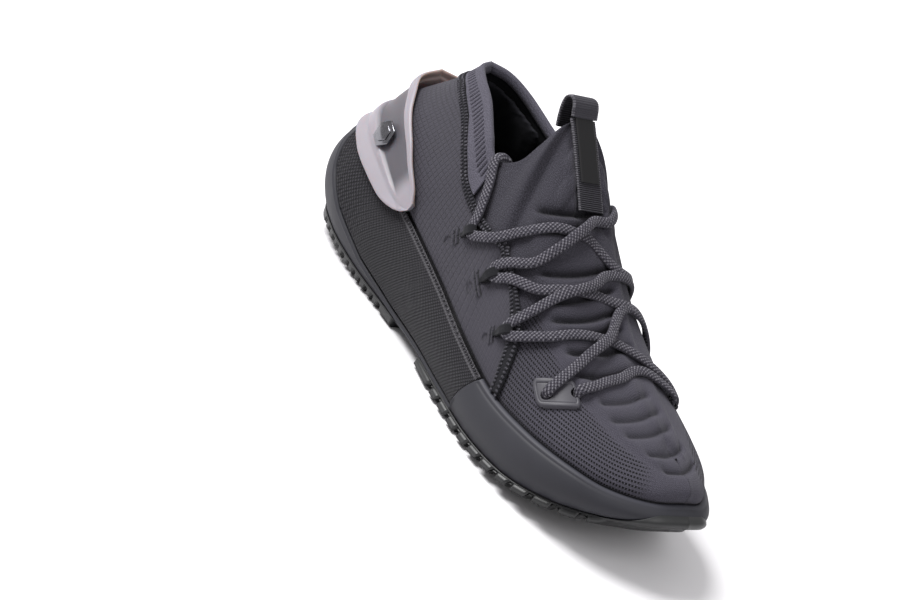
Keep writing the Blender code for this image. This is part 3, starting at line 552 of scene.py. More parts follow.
def stitch_height(made, cloth_at, along, across):
    """Rows of small V stitches, as knitted on a flat machine."""
    x, y, _ = made.split(cloth_at)
    slant = made.size(made.minus(made.part(made.over(y, across)), 0.5))
    shifted = made.times_plus(slant, along, x)
    rows = made.wave(shifted, along)
    columns = made.wave(y, across)
    return made.times(rows, made.times_plus(columns, 0.6, 0.4))


def knit_finish(name="bootie_knit", colour=KNIT_COLOUR):
    """Melange knit: fine stitches of dark and lighter yarn, with rows of small openings at the sides, painted
    light towards the toe, and painted shade in its grooves, its slits and along the bite line.
    """
    made = Finish(name, 0.92, Sheen_Weight=0.05, Sheen_Roughness=0.5, Specular_IOR_Level=0.12)
    cloth_at = made.named("cloth", True)
    x, y, _ = made.split(cloth_at)
    stitches = stitch_height(made, cloth_at, 0.95, 1.1)
    fleck = made.noise(made.join(x, made.times(y, 1.6)), 1.5, 2, 0.7)
    patchy = made.noise(cloth_at, 0.06, 2)
    tone = made.mix(made.between(fleck, 0.42, 0.66), shade(colour, 0.45), shade(colour, 1.9))
    tone = made.mix(made.times(patchy, 0.35), tone, shade(colour, 0.8))
    # Painted light: the "pale" value lightens the bootie and tongue towards the toe, where more light falls;
    # the ribbed collar takes an even 0.3 of it.
    tone = made.mix(made.times(made.named("pale"), 0.4), tone, shade(colour, 2.25))
    row = made.over(y, 2.15)
    column = made.times_plus(made.math("FLOOR", row), 0.37, made.over(x, 1.55))
    across, along = (made.size(made.minus(made.part(place_at), 0.5)) for place_at in (row, column))
    hole = made.times(made.between(across, 0.27, 0.12), made.between(along, 0.36, 0.2))
    hole = made.times(hole, made.named("open"))
    tone = made.mix(hole, tone, shade(colour, 0.07))
    # Painted shade: the "dark" value darkens the knit in its quilted grooves, along and below the bite line,
    # and in the slits of the ribbed collar.
    tone = made.mix(made.named("dark"), tone, shade(colour, 0.12))
    made.colour(tone)
    made.bump(stitches, 0.22, 0.8)
    made.bump(made.minus(1.0, hole), 0.6)
    made.bump(fleck, 0.12, 0.6)
    return made.material


def ripstop_finish():
    """A thin smooth weave with a fine raised grid."""
    made = Finish("ripstop", 0.72, Sheen_Weight=0.03, Specular_IOR_Level=0.2)
    cloth_at = made.named("cloth", True)
    x, y, _ = made.split(cloth_at)
    grid = made.larger(made.between(made.wave(x, 2.9), 0.2, 0.0),
                     made.between(made.wave(y, 2.9), 0.2, 0.0))
    grid = made.times(grid, made.named("grid"))
    threads = made.times(made.wave(x, 0.42), made.wave(y, 0.42))
    patchy = made.noise(cloth_at, 0.05, 3)
    speck = made.noise(cloth_at, 1.3, 2, 0.7)
    tone = made.mix(grid, RIPSTOP_COLOUR, shade(RIPSTOP_COLOUR, 0.2))
    tone = made.mix(made.between(speck, 0.35, 0.75), shade(RIPSTOP_COLOUR, 0.85), tone)
    tone = made.mix(made.times(patchy, 0.5), tone, shade(RIPSTOP_COLOUR, 1.25))
    # Painted shade: "dark" darkens the sunken marks by the lace exits and the panel's lower edge.
    tone = made.mix(made.named("dark"), tone, shade(RIPSTOP_COLOUR, 0.12))
    made.colour(tone)
    made.rough(patchy, 0.62, 0.8)
    made.bump(made.minus(1.0, grid), 0.3)
    made.bump(threads, 0.06, 0.6)
    return made.material


def web_finish():
    """Open compression mesh: coarse raised dots at the heel, a fine diagonal weave towards the toe."""
    made = Finish("web_mesh", 0.82, Sheen_Weight=0.04, Specular_IOR_Level=0.2)
    cloth_at = made.named("cloth", True)
    x, y, _ = made.split(cloth_at)
    down = made.plus(x, made.times(y, 0.9))
    up = made.minus(made.times(x, 0.9), y)
    coarse = made.times(made.wave(down, 2.7), made.wave(up, 2.7))
    fine = made.times(made.wave(down, 1.9), made.wave(up, 1.5))
    ribs = made.times(made.wave(up, 1.7), made.wave(down, 2.2))
    weave = made.mix(made.named("coarse"), fine, coarse)
    weave = made.mix(made.named("forward"), weave, ribs)
    speck = made.noise(cloth_at, 1.1, 2, 0.7)
    tone = made.mix(weave, shade(MESH_COLOUR, 0.3), shade(MESH_COLOUR, 2.4))
    tone = made.mix(made.times(speck, 0.45), tone, shade(MESH_COLOUR, 0.55))
    tone = made.mix(made.named("edge"), tone, (0.11, 0.105, 0.115))
    made.colour(tone)
    made.bump(weave, 0.5, 0.9)
    made.bump(speck, 0.15, 0.5)
    return made.material


def foam_finish(name="carrier_foam", colour=FOAM_COLOUR):
    """Moulded foam: a fine skin texture, and a painted highlight that lightens its rounded upper edges."""
    made = Finish(name, 0.6, Specular_IOR_Level=0.25)
    where = made.object_place()
    skin = made.noise(where, 2600, 3, 0.6)
    patchy = made.noise(where, 45, 3)
    tone = made.mix(patchy, shade(colour, 0.85), shade(colour, 1.2))
    # Painted highlight: the rounded edges of the foam are lightened.
    tone = made.mix(made.named("painted_edge_highlight"), tone, shade(colour, 2.4))
    made.colour(tone)
    made.rough(patchy, 0.5, 0.66)
    made.bump(skin, 0.05, 0.5)
    return made.material


def rubber_finish():
    """Black outsole rubber with a matt walking face, and painted shade darkening its grooves."""
    made = Finish("outsole_rubber", 0.4, Specular_IOR_Level=0.5)
    where = made.object_place()
    skin = made.noise(where, 1800, 3, 0.6)
    patchy = made.noise(where, 60, 4)
    black = (0.0050, 0.0054, 0.0058)
    tone = made.mix(patchy, black, shade(black, 1.7))
    # Painted shade: the "groove" value darkens the rubber inside the tread's grooves.
    tone = made.mix(made.named("groove"), tone, shade(black, 0.6))
    made.colour(tone)
    made.rough(patchy, 0.34, 0.52)
    made.bump(skin, 0.05, 0.5)
    return made.material


def tpu_finish():
    """Smoked translucent plastic: pale where it is thick at the lips, darker on the thin recessed part."""
    made = Finish("smoked_tpu", 0.5, Specular_IOR_Level=0.35, Coat_Weight=0.06, Coat_Roughness=0.3,
                  Subsurface_Weight=0.2, Subsurface_Scale=0.004)
    where = made.object_place()
    cloudy = made.noise(where, 38, 3)
    tone = made.mix(made.named("lip"), (0.050, 0.047, 0.057), (0.215, 0.198, 0.222))
    tone = made.mix(made.times(cloudy, 0.25), tone, (0.145, 0.13, 0.14))
    tone = made.mix(made.named("warm"), tone, (0.30, 0.22, 0.19))
    made.colour(tone)
    made.rough(cloudy, 0.42, 0.6)
    made.bump(made.noise(where, 900, 2), 0.02, 0.4)
    return made.material


def chrome_finish():
    """Dark polished metal with fine brushing."""
    made = Finish("dark_chrome", 0.16, Metallic=1.0)
    where = made.object_place()
    streak = made.noise(where, 700, 2)
    made.colour(made.mix(streak, (0.11, 0.11, 0.12), (0.20, 0.20, 0.215)))
    made.rough(streak, 0.1, 0.24)
    made.bump(streak, 0.01, 0.4)
    return made.material


def lace_finish():
    """Charcoal braid with off-white flecks that follow its strands."""
    made = Finish("lace_braid", 0.88, Sheen_Weight=0.05, Specular_IOR_Level=0.12)
    cloth_at = made.named("cloth", True)
    x, y, _ = made.split(cloth_at)
    along, over = made.over(x, STRAND), made.over(y, STRAND)
    from_a, from_b = (made.size(made.minus(made.part(turn), 0.5))
                      for turn in (made.plus(along, over), made.minus(along, over)))
    strand = made.larger(made.between(from_a, 0.5, 0.2), made.between(from_b, 0.5, 0.2))
    fleck = made.times(made.between(from_a, 0.24, 0.14), made.between(from_b, 0.4, 0.3))
    spots = made.noise(cloth_at, 0.9, 2, 0.6)
    fleck = made.times(fleck, made.between(spots, 0.40, 0.52))
    tone = made.mix(strand, (0.007, 0.007, 0.009), (0.034, 0.032, 0.041))
    tone = made.mix(fleck, tone, (0.135, 0.13, 0.145))
    made.colour(tone)
    made.bump(strand, 0.35, 0.9)
    made.bump(made.noise(cloth_at, 5.0, 2), 0.1, 0.5)
    return made.material


def thread_finish(name, dark, light, share):
    """Twisted thread with lighter fibres."""
    made = Finish(name, 0.85, Sheen_Weight=0.04, Specular_IOR_Level=0.15)
    cloth_at = made.named("cloth", True)
    x, y, _ = made.split(cloth_at)
    twist = made.wave(made.plus(x, made.times(y, 0.7)), 0.55)
    fibre = made.noise(cloth_at, 1.7, 2, 0.7)
    made.colour(made.mix(made.between(fibre, 0.62 - share, 0.72 - share * 0.5), dark, light))
    made.bump(twist, 0.12, 0.8)
    return made.material


def webbing_finish():
    """Ribbed webbing: close cross ribs, with beaded edges."""
    made = Finish("ribbed_webbing", 0.8, Sheen_Weight=0.04, Specular_IOR_Level=0.2)
    x, y, _ = made.split(made.named("cloth", True))
    ribs = made.wave(x, 1.05)
    threads = made.wave(y, 0.5)
    edge = made.between(made.size(y), 6.9, 7.2)
    beads_on = made.times(edge, made.wave(x, 1.3))
    height = made.larger(made.times(ribs, made.times_plus(threads, 0.3, 0.7)), beads_on)
    tone = made.mix(height, (0.006, 0.006, 0.008), (0.036, 0.034, 0.042))
    made.colour(made.mix(beads_on, tone, (0.10, 0.096, 0.108)))
    made.bump(height, 0.3, 0.9)
    return made.material


def film_finish(name, colour, low, high):
    """Thin bonded film with a soft gloss and the faint texture of what lies under it."""
    made = Finish(name, low, Specular_IOR_Level=0.3)
    cloth_at = made.named("cloth", True)
    under = made.noise(cloth_at, 0.9, 3, 0.6)
    made.colour(made.mix(under, shade(colour, 0.85), shade(colour, 1.2)))
    made.rough(under, low, high)
    made.bump(under, 0.06, 0.5)
    return made.material


def lining_finish(name="brushed_lining", colour=(0.012, 0.012, 0.015)):
    """Soft black lining with a short nap."""
    made = Finish(name, 0.95, Sheen_Weight=0.04, Specular_IOR_Level=0.1)
    where = made.object_place()
    nap = made.noise(where, 1500, 3, 0.7)
    made.colour(made.mix(nap, shade(colour, 0.6), shade(colour, 1.6)))
    made.bump(nap, 0.12, 0.7)
    return made.material


def board_finish():
    """Pressed felt of the lasting board."""
    made = Finish("pressed_felt", 0.95)
    where = made.object_place()
    felt = made.noise(where, 900, 4, 0.7)
    made.colour(made.mix(felt, (0.25, 0.25, 0.24), (0.42, 0.42, 0.40)))
    made.bump(felt, 0.1, 0.6)
    return made.material


# ---- midsole -----------------------------------------------------------------------------------------
def low_floor(s):
    return smooth(GROUND_EDGE, s)[..., 3] + 6.0


def carrier_floor(s):
    return np.where((s > 1.35) & (s < SEAM - 0.1), low_floor(s), bed(s) - BOARD_THICK - GAP)


def carrier_half(s, side, rows=46):
    """Outer wall up to the web's edge (or the bite line), then back down inside, for one station."""
    share = float(straight(CARRIER_SHARE, s))
    t = np.linspace(0, share, rows)
    column = np.full(rows, s)
    outer = wall(column, t, side)
    level = outwards(column, side)
    height = np.linalg.norm(np.diff(outer, axis=0), axis=1).sum() + 0.1
    up = t / max(share, 0.01) * height
    if 0.7 < s < SEAM - 0.2:
        outer += level * (0.9 * np.exp(-((up - height + 2.0) / 1.1) ** 2))[:, None]
    edge = ease((up - (height - 1.6)) / 1.6) if share > 0.97 else np.zeros(rows)
    outer -= level * (0.9 * edge ** 2)[:, None]
    if s > SEAM:
        line_at = ease(1 - np.abs(up - height * 0.93) / 0.8)
        outer -= level * (0.5 * line_at)[:, None]
    floor = float(carrier_floor(s))
    if share > 0.97:
        inner = skirt(np.full(8, s), np.linspace(0, 1, 8), side, GAP)
        inner[-1, 2] = floor
    else:
        floor = min(floor, outer[-1, 2] - 0.6)
        low, high = outer[0, 2], float(line(BITE, s, side)[2])
        heights = np.linspace(outer[-1, 2], floor, 8)
        inner = wall(np.full(8, s), (heights - low) / (high - low), side, WALL)
    first = centre(GROUND_EDGE, s, outer[0, 2])
    last = centre(FOOTBED, s, floor)
    # Painted highlight along the rounded top edge.
    painted_edge_highlight = np.concatenate([[0], 0.55 * edge, np.zeros(9)])
    return np.concatenate([[first], outer, inner, [last]]), painted_edge_highlight


def ring_of(halves):
    """The two sides' half sections as one ring, one list of rows for each thing that a half gives."""
    return [np.concatenate([lateral, medial[::-1]]) for lateral, medial in zip(*halves)]


def build_carrier(stuff):
    s = np.unique(np.concatenate([stations(0, 12, 1.1), (1.349, 1.351, SEAM - 0.06, SEAM - 0.03, SEAM)]))
    rings, painted_edge_highlight = zip(*(ring_of([carrier_half(value, side) for side in (LATERAL, MEDIAL)]) for value in s))
    made = rings_piece("midsole_foam", rings, stuff, {"painted_edge_highlight": np.array(painted_edge_highlight).ravel()}, caps=False)
    place(made, "shoe", "carrier_foam", "midsole_carrier")


def web_edge(s):
    return np.minimum(straight(CARRIER_SHARE, s) + 0.03, 0.96)


def build_webs(stuff, thread):
    for side, word in SIDES:
        s = stations(1.02, SEAM - 0.04, 0.9)
        f = np.linspace(0, 1, 64)
        s2, f2 = np.meshgrid(s, f, indexing="ij")
        low = web_edge(s)[:, None]
        t = low + (1 - low) * f2
        grid = wall(s2, t, side)
        level = outwards(s2, side)
        local = arc(grid)
        top = local[:, -1:]
        tall = arc(wall(s2[:, :1] + 0 * f2, f2 + 0 * s2, side))[:, -1:]
        along, up = np.interp(s2, FINE, SOLE_RUN[side]) * side, t * tall
        edge = np.maximum(ease(1 - local / 1.5), ease(1 - (top - local) / 1.5))
        near = ease((s2 - 2.2) / 1.6)
        dots = waves(along + 0.9 * up, 2.7) * waves(0.9 * along - up, 2.7) * (1 - near)
        ridge = ease(1 - np.abs(top - local - 2.0) / 0.9) * window(s2, 2.4, 6.6, 0.2)
        away = 0.5 * dots * (1 - edge) - 0.8 * edge ** 2 + 0.35 * ridge
        grid = grid + level * away[..., None]
        values = {"cloth": lay(along, up, float(side)),
                  "coarse": 1 - near, "forward": ease((s2 - 4.0) / 1.2), "edge": 0.5 * edge + 0.5 * ridge}
        made = sheet_piece("midsole_web_" + word, [(side, grid, values)], WEB_THICK, stuff)
        s = stations(2.75, 6.6, 2.1, 0.4, side)
        spot = wall(s, np.full(len(s), 0.985), side)
        ahead = unit(np.gradient(spot, axis=0))
        level = outwards(s, side)
        rising = np.cross(ahead, level) * side
        rising = rising * np.sign(rising[:, 2:])
        stitch = beads("seam_" + word, spot + level * 0.15, rising * 0.92 + ahead * 0.38, level, thread,
                       (1.5, 0.42, 0.4))
        place(join("midsole_web_" + word, [made, stitch]), "shoe", "web_mesh", "energy_web_" + word)


# ---- outsole -----------------------------------------------------------------------------------------
def notch(value, low, width, soft=0.9):
    """1 inside a groove that starts at low and is width wide."""
    return window(value, low, low + width, soft)


def lug_front(x, y, share):
    """Depth of the forefoot's grooves, 0 to 1, at places under the sole; share is 1 at its edge."""
    deep = np.zeros_like(x)
    for i in range(11):
        at = 9 + 11.5 * i - 5 * (y + 4) / 66
        wide = 3.4 if i % 3 == 0 else 2.4
        deep = np.maximum(deep, notch(x - at, -0.2, wide) * ease((-y - 4.0) / 1.5))
    for i in range(10):
        at = 13 + 11.5 * i + 4 * (y - 4) / 66
        deep = np.maximum(deep, notch(x - at, -0.2, 2.8) * ease((y - 4.0) / 1.5))
    rows = np.minimum(np.abs(y - 17.5), np.abs(y - 29.0))
    deep = np.maximum(deep, ease((1.4 - rows) / 0.9) * ease((y - 6) / 1.5) * ease((0.93 - share) / 0.04))
    outer = ease((1.3 - np.abs(share - 0.86) * 40) / 0.8) * (y < -6)
    deep = np.maximum(deep, outer * 0.8)
    hole = np.hypot((x - 9) % 34.5 - 0.9, y + 5.5)
    return np.maximum(deep, ease((2.4 - hole) / 0.8))


def lug_back(x, y, share):
    deep = np.zeros_like(x)
    for i in range(11):
        deep = np.maximum(deep, notch(x + 126 - 7 * i, 0.0, 2.2 if i % 2 == 0 else 1.5)
                          * (1 if i % 2 == 0 else ease((share - 0.55) / 0.05)))
    middle = ease((3.0 - np.abs(y)) / 0.8)
    return np.maximum(deep, middle * ease((110 + x) / 3))


def bumper(s):
    return 0.03 + 0.8 * ease((s - 10.0) / 1.3)


def tread_half(s, side, lugs, count=58):
    """Half a section of the outsole, from the middle of the walking face out and up, and back inside."""
    rise = float(bumper(s))
    level = outwards(s, side)
    t = rise * np.linspace(0, 1, 6)
    column = np.full(6, s)
    inner = wall(column, t, side) + level * GAP - (0, 0, GAP)
    skin = 0.8 + 1.2 * min(rise * 4, 1.0)
    outer = wall(column, t, side) + level * ((skin + 0.3) * (1 - 0.75 * (t[:, None] / rise) ** 3)) - (0, 0, GAP)
    foot = line(GROUND_EDGE, s, side) + level * 0.3
    foot[2] = max(foot[2] - TREAD, 0.0)
    middle = centre(GROUND_EDGE, s, foot[2])
    share = np.linspace(0, 1, count)
    spread = ease((10.6 - s) / 0.8) * (0.15 + 0.85 * ease((s - 4.5) / 1.5))
    foot = foot + level * (1.1 * spread)
    face = middle + (foot - middle) * share[:, None]
    depth = lugs(face[:, 0], face[:, 1], share)
    face[:, 2] += 2.3 * depth + 1.2 * np.clip((share - 0.965) / 0.035, 0, 1) ** 2
    out_by = 1.5 * spread
    bulge = level * (out_by - (out_by + 0.9) * depth[-1])
    corner = foot + level * 0.55 + (0, 0, 1.5 + 1.2 * depth[-1]) + bulge
    outer[0] += bulge * 0.7
    inner[:, 2] = np.maximum(inner[:, 2], face[-1, 2] + 0.25) if s < 9.9 else inner[:, 2]
    outer[:, 2] = np.maximum(outer[:, 2], face[-1, 2] + 0.2)
    last = centre(GROUND_EDGE, s, inner[0, 2])
    return np.concatenate([face, [corner], outer, inner[::-1], [last]]), \
        np.concatenate([depth, np.zeros(14)])


def build_outsole(stuff):
    for name, first, last, lugs in (("outsole_forefoot", 5.22, 12, lug_front),
                                    ("outsole_heel", 0, 4.28, lug_back)):
        rings, groove = zip(*(ring_of([tread_half(value, side, lugs) for side in (LATERAL, MEDIAL)])
                              for value in stations(first, last, 0.75)))
        made = rings_piece(name + "_rubber", rings, stuff, {"groove": np.array(groove).ravel()})
        place(made, "shoe", "outsole_rubber", name)


# ---- knitted upper -----------------------------------------------------------------------------------
TOE_GROOVES = [((9.06, 0.55), (9.44, 0.81)), ((9.44, 0.53), (9.71, 0.76)), ((9.9, 0.54), (10.0, 0.71)),
               ((10.51, 0.54), (10.25, 0.6)), ((11.01, 0.5), (10.3, 0.45))]
THROAT_GROOVES = [((6.14, 0.56), (6.72, 0.8)), ((6.33, 0.54), (6.95, 0.88)), ((6.73, 0.5), (7.32, 0.8)),
                  ((6.95, 0.46), (7.62, 0.82)), ((7.35, 0.5), (8.02, 0.84)), ((7.68, 0.53), (8.25, 0.84)),
                  ((7.96, 0.52), (8.45, 0.78)), ((8.3, 0.5), (8.8, 0.74))]


def tongue_edge(s):
    edge = smooth(TONGUE_LINE, s)[..., 0]
    return np.where((s < V_POINT) | (s > 7.0), 1.0, np.minimum(edge, 1.0))


ACROSS_VAMP = np.array((0.85, 0.0, 0.53))


def creases(point, grooves, depth, width):
    """Quilted grooves across the vamp, from a place on the lateral side to one on the medial side."""
    total = np.zeros(point.shape[:-1])
    for (s0, v0), (s1, v1) in grooves:
        start = upper_face(s0, v0, LATERAL)
        chord = upper_face(s1, v1, MEDIAL) - start
        ahead = np.cross(chord, ACROSS_VAMP)
        ahead = unit(ahead) * np.sign(ahead[0])
        f = (point - start) @ chord / (chord @ chord)
        distance = (point - start) @ ahead - 1.6 * 4 * f * (1 - f)
        sharp = np.where(distance < 0, width * 1.6, width * 0.75)
        reach = ease((f + 0.02) / 0.14) * ease((1.02 - f) / 0.14)
        total = np.maximum(total, reach * np.exp(-(np.abs(distance) / sharp) ** 1.3))
    return total * depth


def pad_rise(s, v, side):
    """Swell of the quilted parts of the vamp between their grooves."""
    across = side * (1 - v)
    throat = window(s, 6.35, 8.6, 0.35) * window(across, -0.44, 0.2, 0.08)
    toe = window(s, 9.1, 10.75, 0.5) * window(across, -0.42, 0.26, 0.09)
    strap = window(s, 5.5, 6.95, 0.12) * window(across, -0.13, 0.13, 0.05)
    return np.maximum(1.6 * throat, 1.3 * toe) * (1 - strap)


def ridge_rise(s, v):
    """The middle of the instep stands a little proud where the two sides meet at a crease."""
    return 1.3 * np.exp(-((1 - v) / 0.1) ** 2) * window(s, 7.6, 10.5, 0.6)


def vamp_height(s, v, side):
    """How far the knit stands out of its plain surface, and how dark its grooves are."""
    run = np.interp(s, FINE, RUN[side])
    point = upper_face(s, v, side)
    toe = creases(point, TOE_GROOVES, 1.0, 1.5)
    throat = creases(point, THROAT_GROOVES, 1.55, 1.5)
    fold = np.maximum(toe, throat)
    rise = pad_rise(s, v, side) + ridge_rise(s, v)
    ripple = 0.28 * np.sin(run / 3.3 + 2 * v) * window(v, 0.03, 0.3, 0.1) * window(s, 7.2, 11, 0.5)
    return rise - 1.9 * fold + 0.35 * ripple, np.minimum(fold, 1)


def build_bootie(stuff, lining):
    s = np.unique(np.concatenate([stations(0, 12, 0.8), (V_POINT, 7.0)]))
    patches = []
    for side in (LATERAL, MEDIAL):
        s2, v = spread(s, 0, tongue_edge(s), 110)
        point, normal = upper(s2, v, side)
        height, fold = vamp_height(s2, v, side)
        shade_at_bite = np.exp(-((v / 0.035) ** 2))
        point = point + normal * height[..., None]
        below = np.stack([skirt(s, np.full(len(s), f), side) for f in (1.0, 0.66, 0.33)], 1)
        grid = np.concatenate([below, point], 1)
        pad = np.zeros((len(s), 3))
        opened = window(s2, 7.15, 10.4, 0.5) * window(v, 0.035, 0.44, 0.05)
        place_at = cloth(s2, v, side)
        # Painted light towards the toe in "pale"; painted shade in "dark", over the skirt below the bite line,
        # along the bite line and in the quilted grooves.
        values = {"cloth": np.concatenate([np.zeros((len(s), 3, 3)), place_at], 1),
                  "open": np.concatenate([pad, opened], 1),
                  "pale": np.concatenate([pad, ease((s2 - 6.4) / 2.2)], 1),
                  "dark": np.concatenate([pad + 1, np.maximum(fold ** 2 * 0.75, shade_at_bite * 0.6)], 1)}
        patches.append((side, grid, values))
    made = sheet_piece("knit_upper", patches, 0, stuff)
    drill(made, [hole_frame(number, side) for side in (LATERAL, MEDIAL) for number in (0, 1)])
    thicken(made, KNIT_THICK, lining)
    made.data.set_sharp_from_angle(angle=math.radians(50))
    place(made, "shoe", "knit", "knit_bootie")


def drill(made, holes, radius=2.9):
    """Take out the faces round each hole's centre."""
    with edited(made.data) as work:
        gone = set()
        for place_at, _ in holes:
            middle = Vector(row_point(*place_at))
            gone |= {f for f in work.faces if (f.calc_center_median() - middle).length < radius * MM}
        bmesh.ops.delete(work, geom=list(gone), context="FACES")


def build_tongue(stuff, lining):
    s = np.unique(np.concatenate([stations(V_POINT + 0.03, 6.97, 0.8), (5.0, 6.0)]))
    patches = []
    for side in (LATERAL, MEDIAL):
        s2, v = spread(s, tongue_edge(s), 1, 90)
        point, normal = upper(s2, v, side)
        height, fold = vamp_height(s2, v, side)
        tuck = tongue_tucks(s2, v, side)
        rim = np.exp(-((1 - v) * 60 / 3.0) ** 2) * window(s2, 4.4, 6.05, 0.15)
        point = point + normal * (height + tuck + 0.5 * rim)[..., None]
        # Painted light towards the toe in "pale", and painted shade in the quilted grooves in "dark".
        values = {"cloth": cloth(s2, v, side), "open": np.zeros(s2.shape), "pale": ease((s2 - 6.4) / 2.2),
                  "dark": fold ** 2 * 0.8}
        patches.append((side, point, values))
    made = sheet_piece("knit_tongue", patches, 0, stuff)
    thicken(made, KNIT_THICK, lining)
    made.data.set_sharp_from_angle(angle=math.radians(50))
    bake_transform(made)
    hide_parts("tongue")


def tongue_tucks(s, v, side):
    """Two small padded swellings beside the strap."""
    across = side * (1 - v) * 60
    run = np.interp(s, FINE, RUN[side])
    total = np.zeros(s.shape)
    for at, reach in ((6.36, 14.0), (6.52, 19.0)):
        distance = (run - np.interp(at, FINE, RUN[side])) / 4.6
        total = np.maximum(total, 1.2 * np.maximum(1 - distance ** 2, 0) ** 0.5
                           * ease((reach - np.abs(across)) / 2.5))
    return total


# ---- quarter and collar ------------------------------------------------------------------------------
NOTCHES = [(4.86, 0.40), (5.89, 0.29), (6.66, 0.245)]
OVALS = [(4.62, 0.27), (5.5, 0.17), (6.3, 0.125)]


def at_side(place_at, side):
    """The lace exits sit a little lower on the inner side."""
    return place_at[0], place_at[1] - (0.07 if side == MEDIAL else 0.0)


def braid_height(s):
    return straight(BRAID_LINE, s)


def flat_place(s, v, side):
    """Places on the upper as lengths along and up it, in millimetres, near enough for small details."""
    tall = np.interp(s, (0, 3, 4, 5, 6, 7, 8, 9, 10, 11), (60, 60, 60, 75, 126, 103, 86, 72, 56, 38))
    return np.interp(s, FINE, RUN[side]), v * tall


def quarter_marks(s, v, side):
    """Heights of the openings, bar tacks and small ovals by the lace exits, and the painted shade that darkens
    their slits, the grooves by the bar tacks and the rims of the ovals.
    """
    x, y = flat_place(s, v, side)
    height, dark = np.zeros(s.shape), np.zeros(s.shape)
    for mouth, oval in zip(NOTCHES, OVALS):
        (ns, nv), (es, ev) = at_side(mouth, side), at_side(oval, side)
        nx, ny = flat_place(ns, nv, side)
        ex, ey = flat_place(es, ev, side)
        way = np.array([nx - ex, ny - ey]) / np.hypot(nx - ex, ny - ey)
        along = (x - nx) * way[0] + (y - ny) * way[1]
        across = -(x - nx) * way[1] + (y - ny) * way[0]
        slit = ease((1.5 + along * 0.16 - np.abs(across)) / 0.7) * window(along, -4.5, 9, 0.8)
        height -= 0.9 * slit
        dark = np.maximum(dark, slit)
        lip = ease(1 - np.abs(np.abs(across) - 2.4 - along * 0.16) / 1.0) * window(along, -5.5, 4, 1.0)
        height += 0.35 * lip
        for offset in (-10.2, -7.6):
            bar = ease((0.95 - np.abs(along - offset)) / 0.5) * window(across, -3.6, 3.6, 0.4)
            height += 0.65 * bar
            groove = ease((0.75 - np.abs(along - offset - 1.25)) / 0.4) * window(across, -3.6, 3.6, 0.4)
            height -= 0.3 * groove
            dark = np.maximum(dark, 0.8 * groove)
        ring = np.hypot((along + 14.6) / 2.6, across / 1.6)
        height -= 0.6 * ease((1.15 - ring) / 0.4)
        dark = np.maximum(dark, 0.7 * ease(1 - np.abs(ring - 1.0) / 0.28))
    return height, dark


def build_quarter(stuff):
    patches = []
    for side in (LATERAL, MEDIAL):
        s = stations(0, 6.97, 0.7)
        s2, v = spread(s, 0.02, braid_height(s) - 0.015, 100)
        point, normal = upper(s2, v, side)
        height, dark = quarter_marks(s2, v, side)
        edge = np.exp(-(v - 0.02) * 60 / 0.8)
        point = point + normal * (GAP + PANEL_THICK + height - 0.5 * edge)[..., None]
        # Painted shade in "dark": the slits, grooves and oval rims by the lace exits, and the panel's lower
        # edge where it meets the midsole.
        values = {"cloth": cloth(s2, v, side), "dark": np.maximum(dark, 0.8 * edge ** 2),
                  "grid": np.interp(s2, (4.9, 6.4), (1.0, 0.35))}
        patches.append((side, point, values))
    made = sheet_piece("ripstop_panels", patches, PANEL_THICK, stuff)
    made.data.set_sharp_from_angle(angle=math.radians(60))
    place(made, "shoe", "ripstop", "ripstop_quarter")


def braid_path(step):
    """Places along the braid at even steps, with their lengths, as stations and heights."""
    rows = [(i, s, v) for i, (s, v) in enumerate(BRAID_LINE)]
    fine = smooth(rows, np.linspace(0, len(rows) - 1, 900))
    s, v = np.maximum(fine[:, 0], 0.02), fine[:, 1]
    points = upper_face(s, v, LATERAL)
    run = arc(points)
    at = np.arange(0, run[-1], step)
    return np.interp(at, run, s), np.interp(at, run, v)


def path_frames(side, step, away):
    s, v = braid_path(step)
    point, normal = upper(s, v, side)
    point = point + normal * away
    along = unit(np.gradient(point, axis=0))
    across = unit(np.cross(normal, along))
    return s, point, along, across, normal


def join(name, pieces):
    """One object from several, keeping each one's material."""
    with bpy.context.temp_override(active_object=pieces[0], object=pieces[0], selected_objects=pieces,
                                   selected_editable_objects=pieces):
        bpy.ops.object.join()
    pieces[0].name = name
    return pieces[0]


def build_braids(base_stuff, thread, light_thread):
    for side, word in SIDES:
        s, point, along, across, normal = path_frames(side, 1.0, GAP + 1.6)
        widths = np.interp(s, (0, 6.6, 6.9), (2.3, 2.3, 3.4))
        offsets = np.linspace(-1, 1, 7)
        grid = point[:, None] + across[:, None] * (offsets[None, :, None] * widths[:, None, None])
        sag = 0.35 * (1 - np.abs(offsets)) ** 0.5
        grid = grid + normal[:, None] * (sag[None, :, None] - 0.35)
        values = {"cloth": lay(np.arange(len(s))[:, None] * 1.0, offsets[None] * 2.3)}
        band = sheet_piece("band_" + word, [(side, grid, values)], 0.9, base_stuff)
        s, point, along, across, normal = path_frames(side, 2.1, GAP + 1.7)
        reach = np.interp(s, (0, 6.6, 6.9), (1.25, 1.25, 2.1))
        columns = [band]
        for column, sign in enumerate((-1, 1)):
            centre_at = point + across * (sign * reach)[:, None] + along * (0.6 * sign)
            way = unit(across + along * (0.35 * sign))
            for stuff, pick in ((thread, slice(0, None, 2)), (light_thread, slice(1, None, 2))):
                columns.append(beads(f"stitch_{word}_{column}", centre_at[pick], way[pick], normal[pick], stuff,
                                     (1.05, 0.66, 0.5)))
        made = join("collar_braid_stitching_" + word, columns)
        place(made, "shoe", "braid", "collar_braid_" + word)


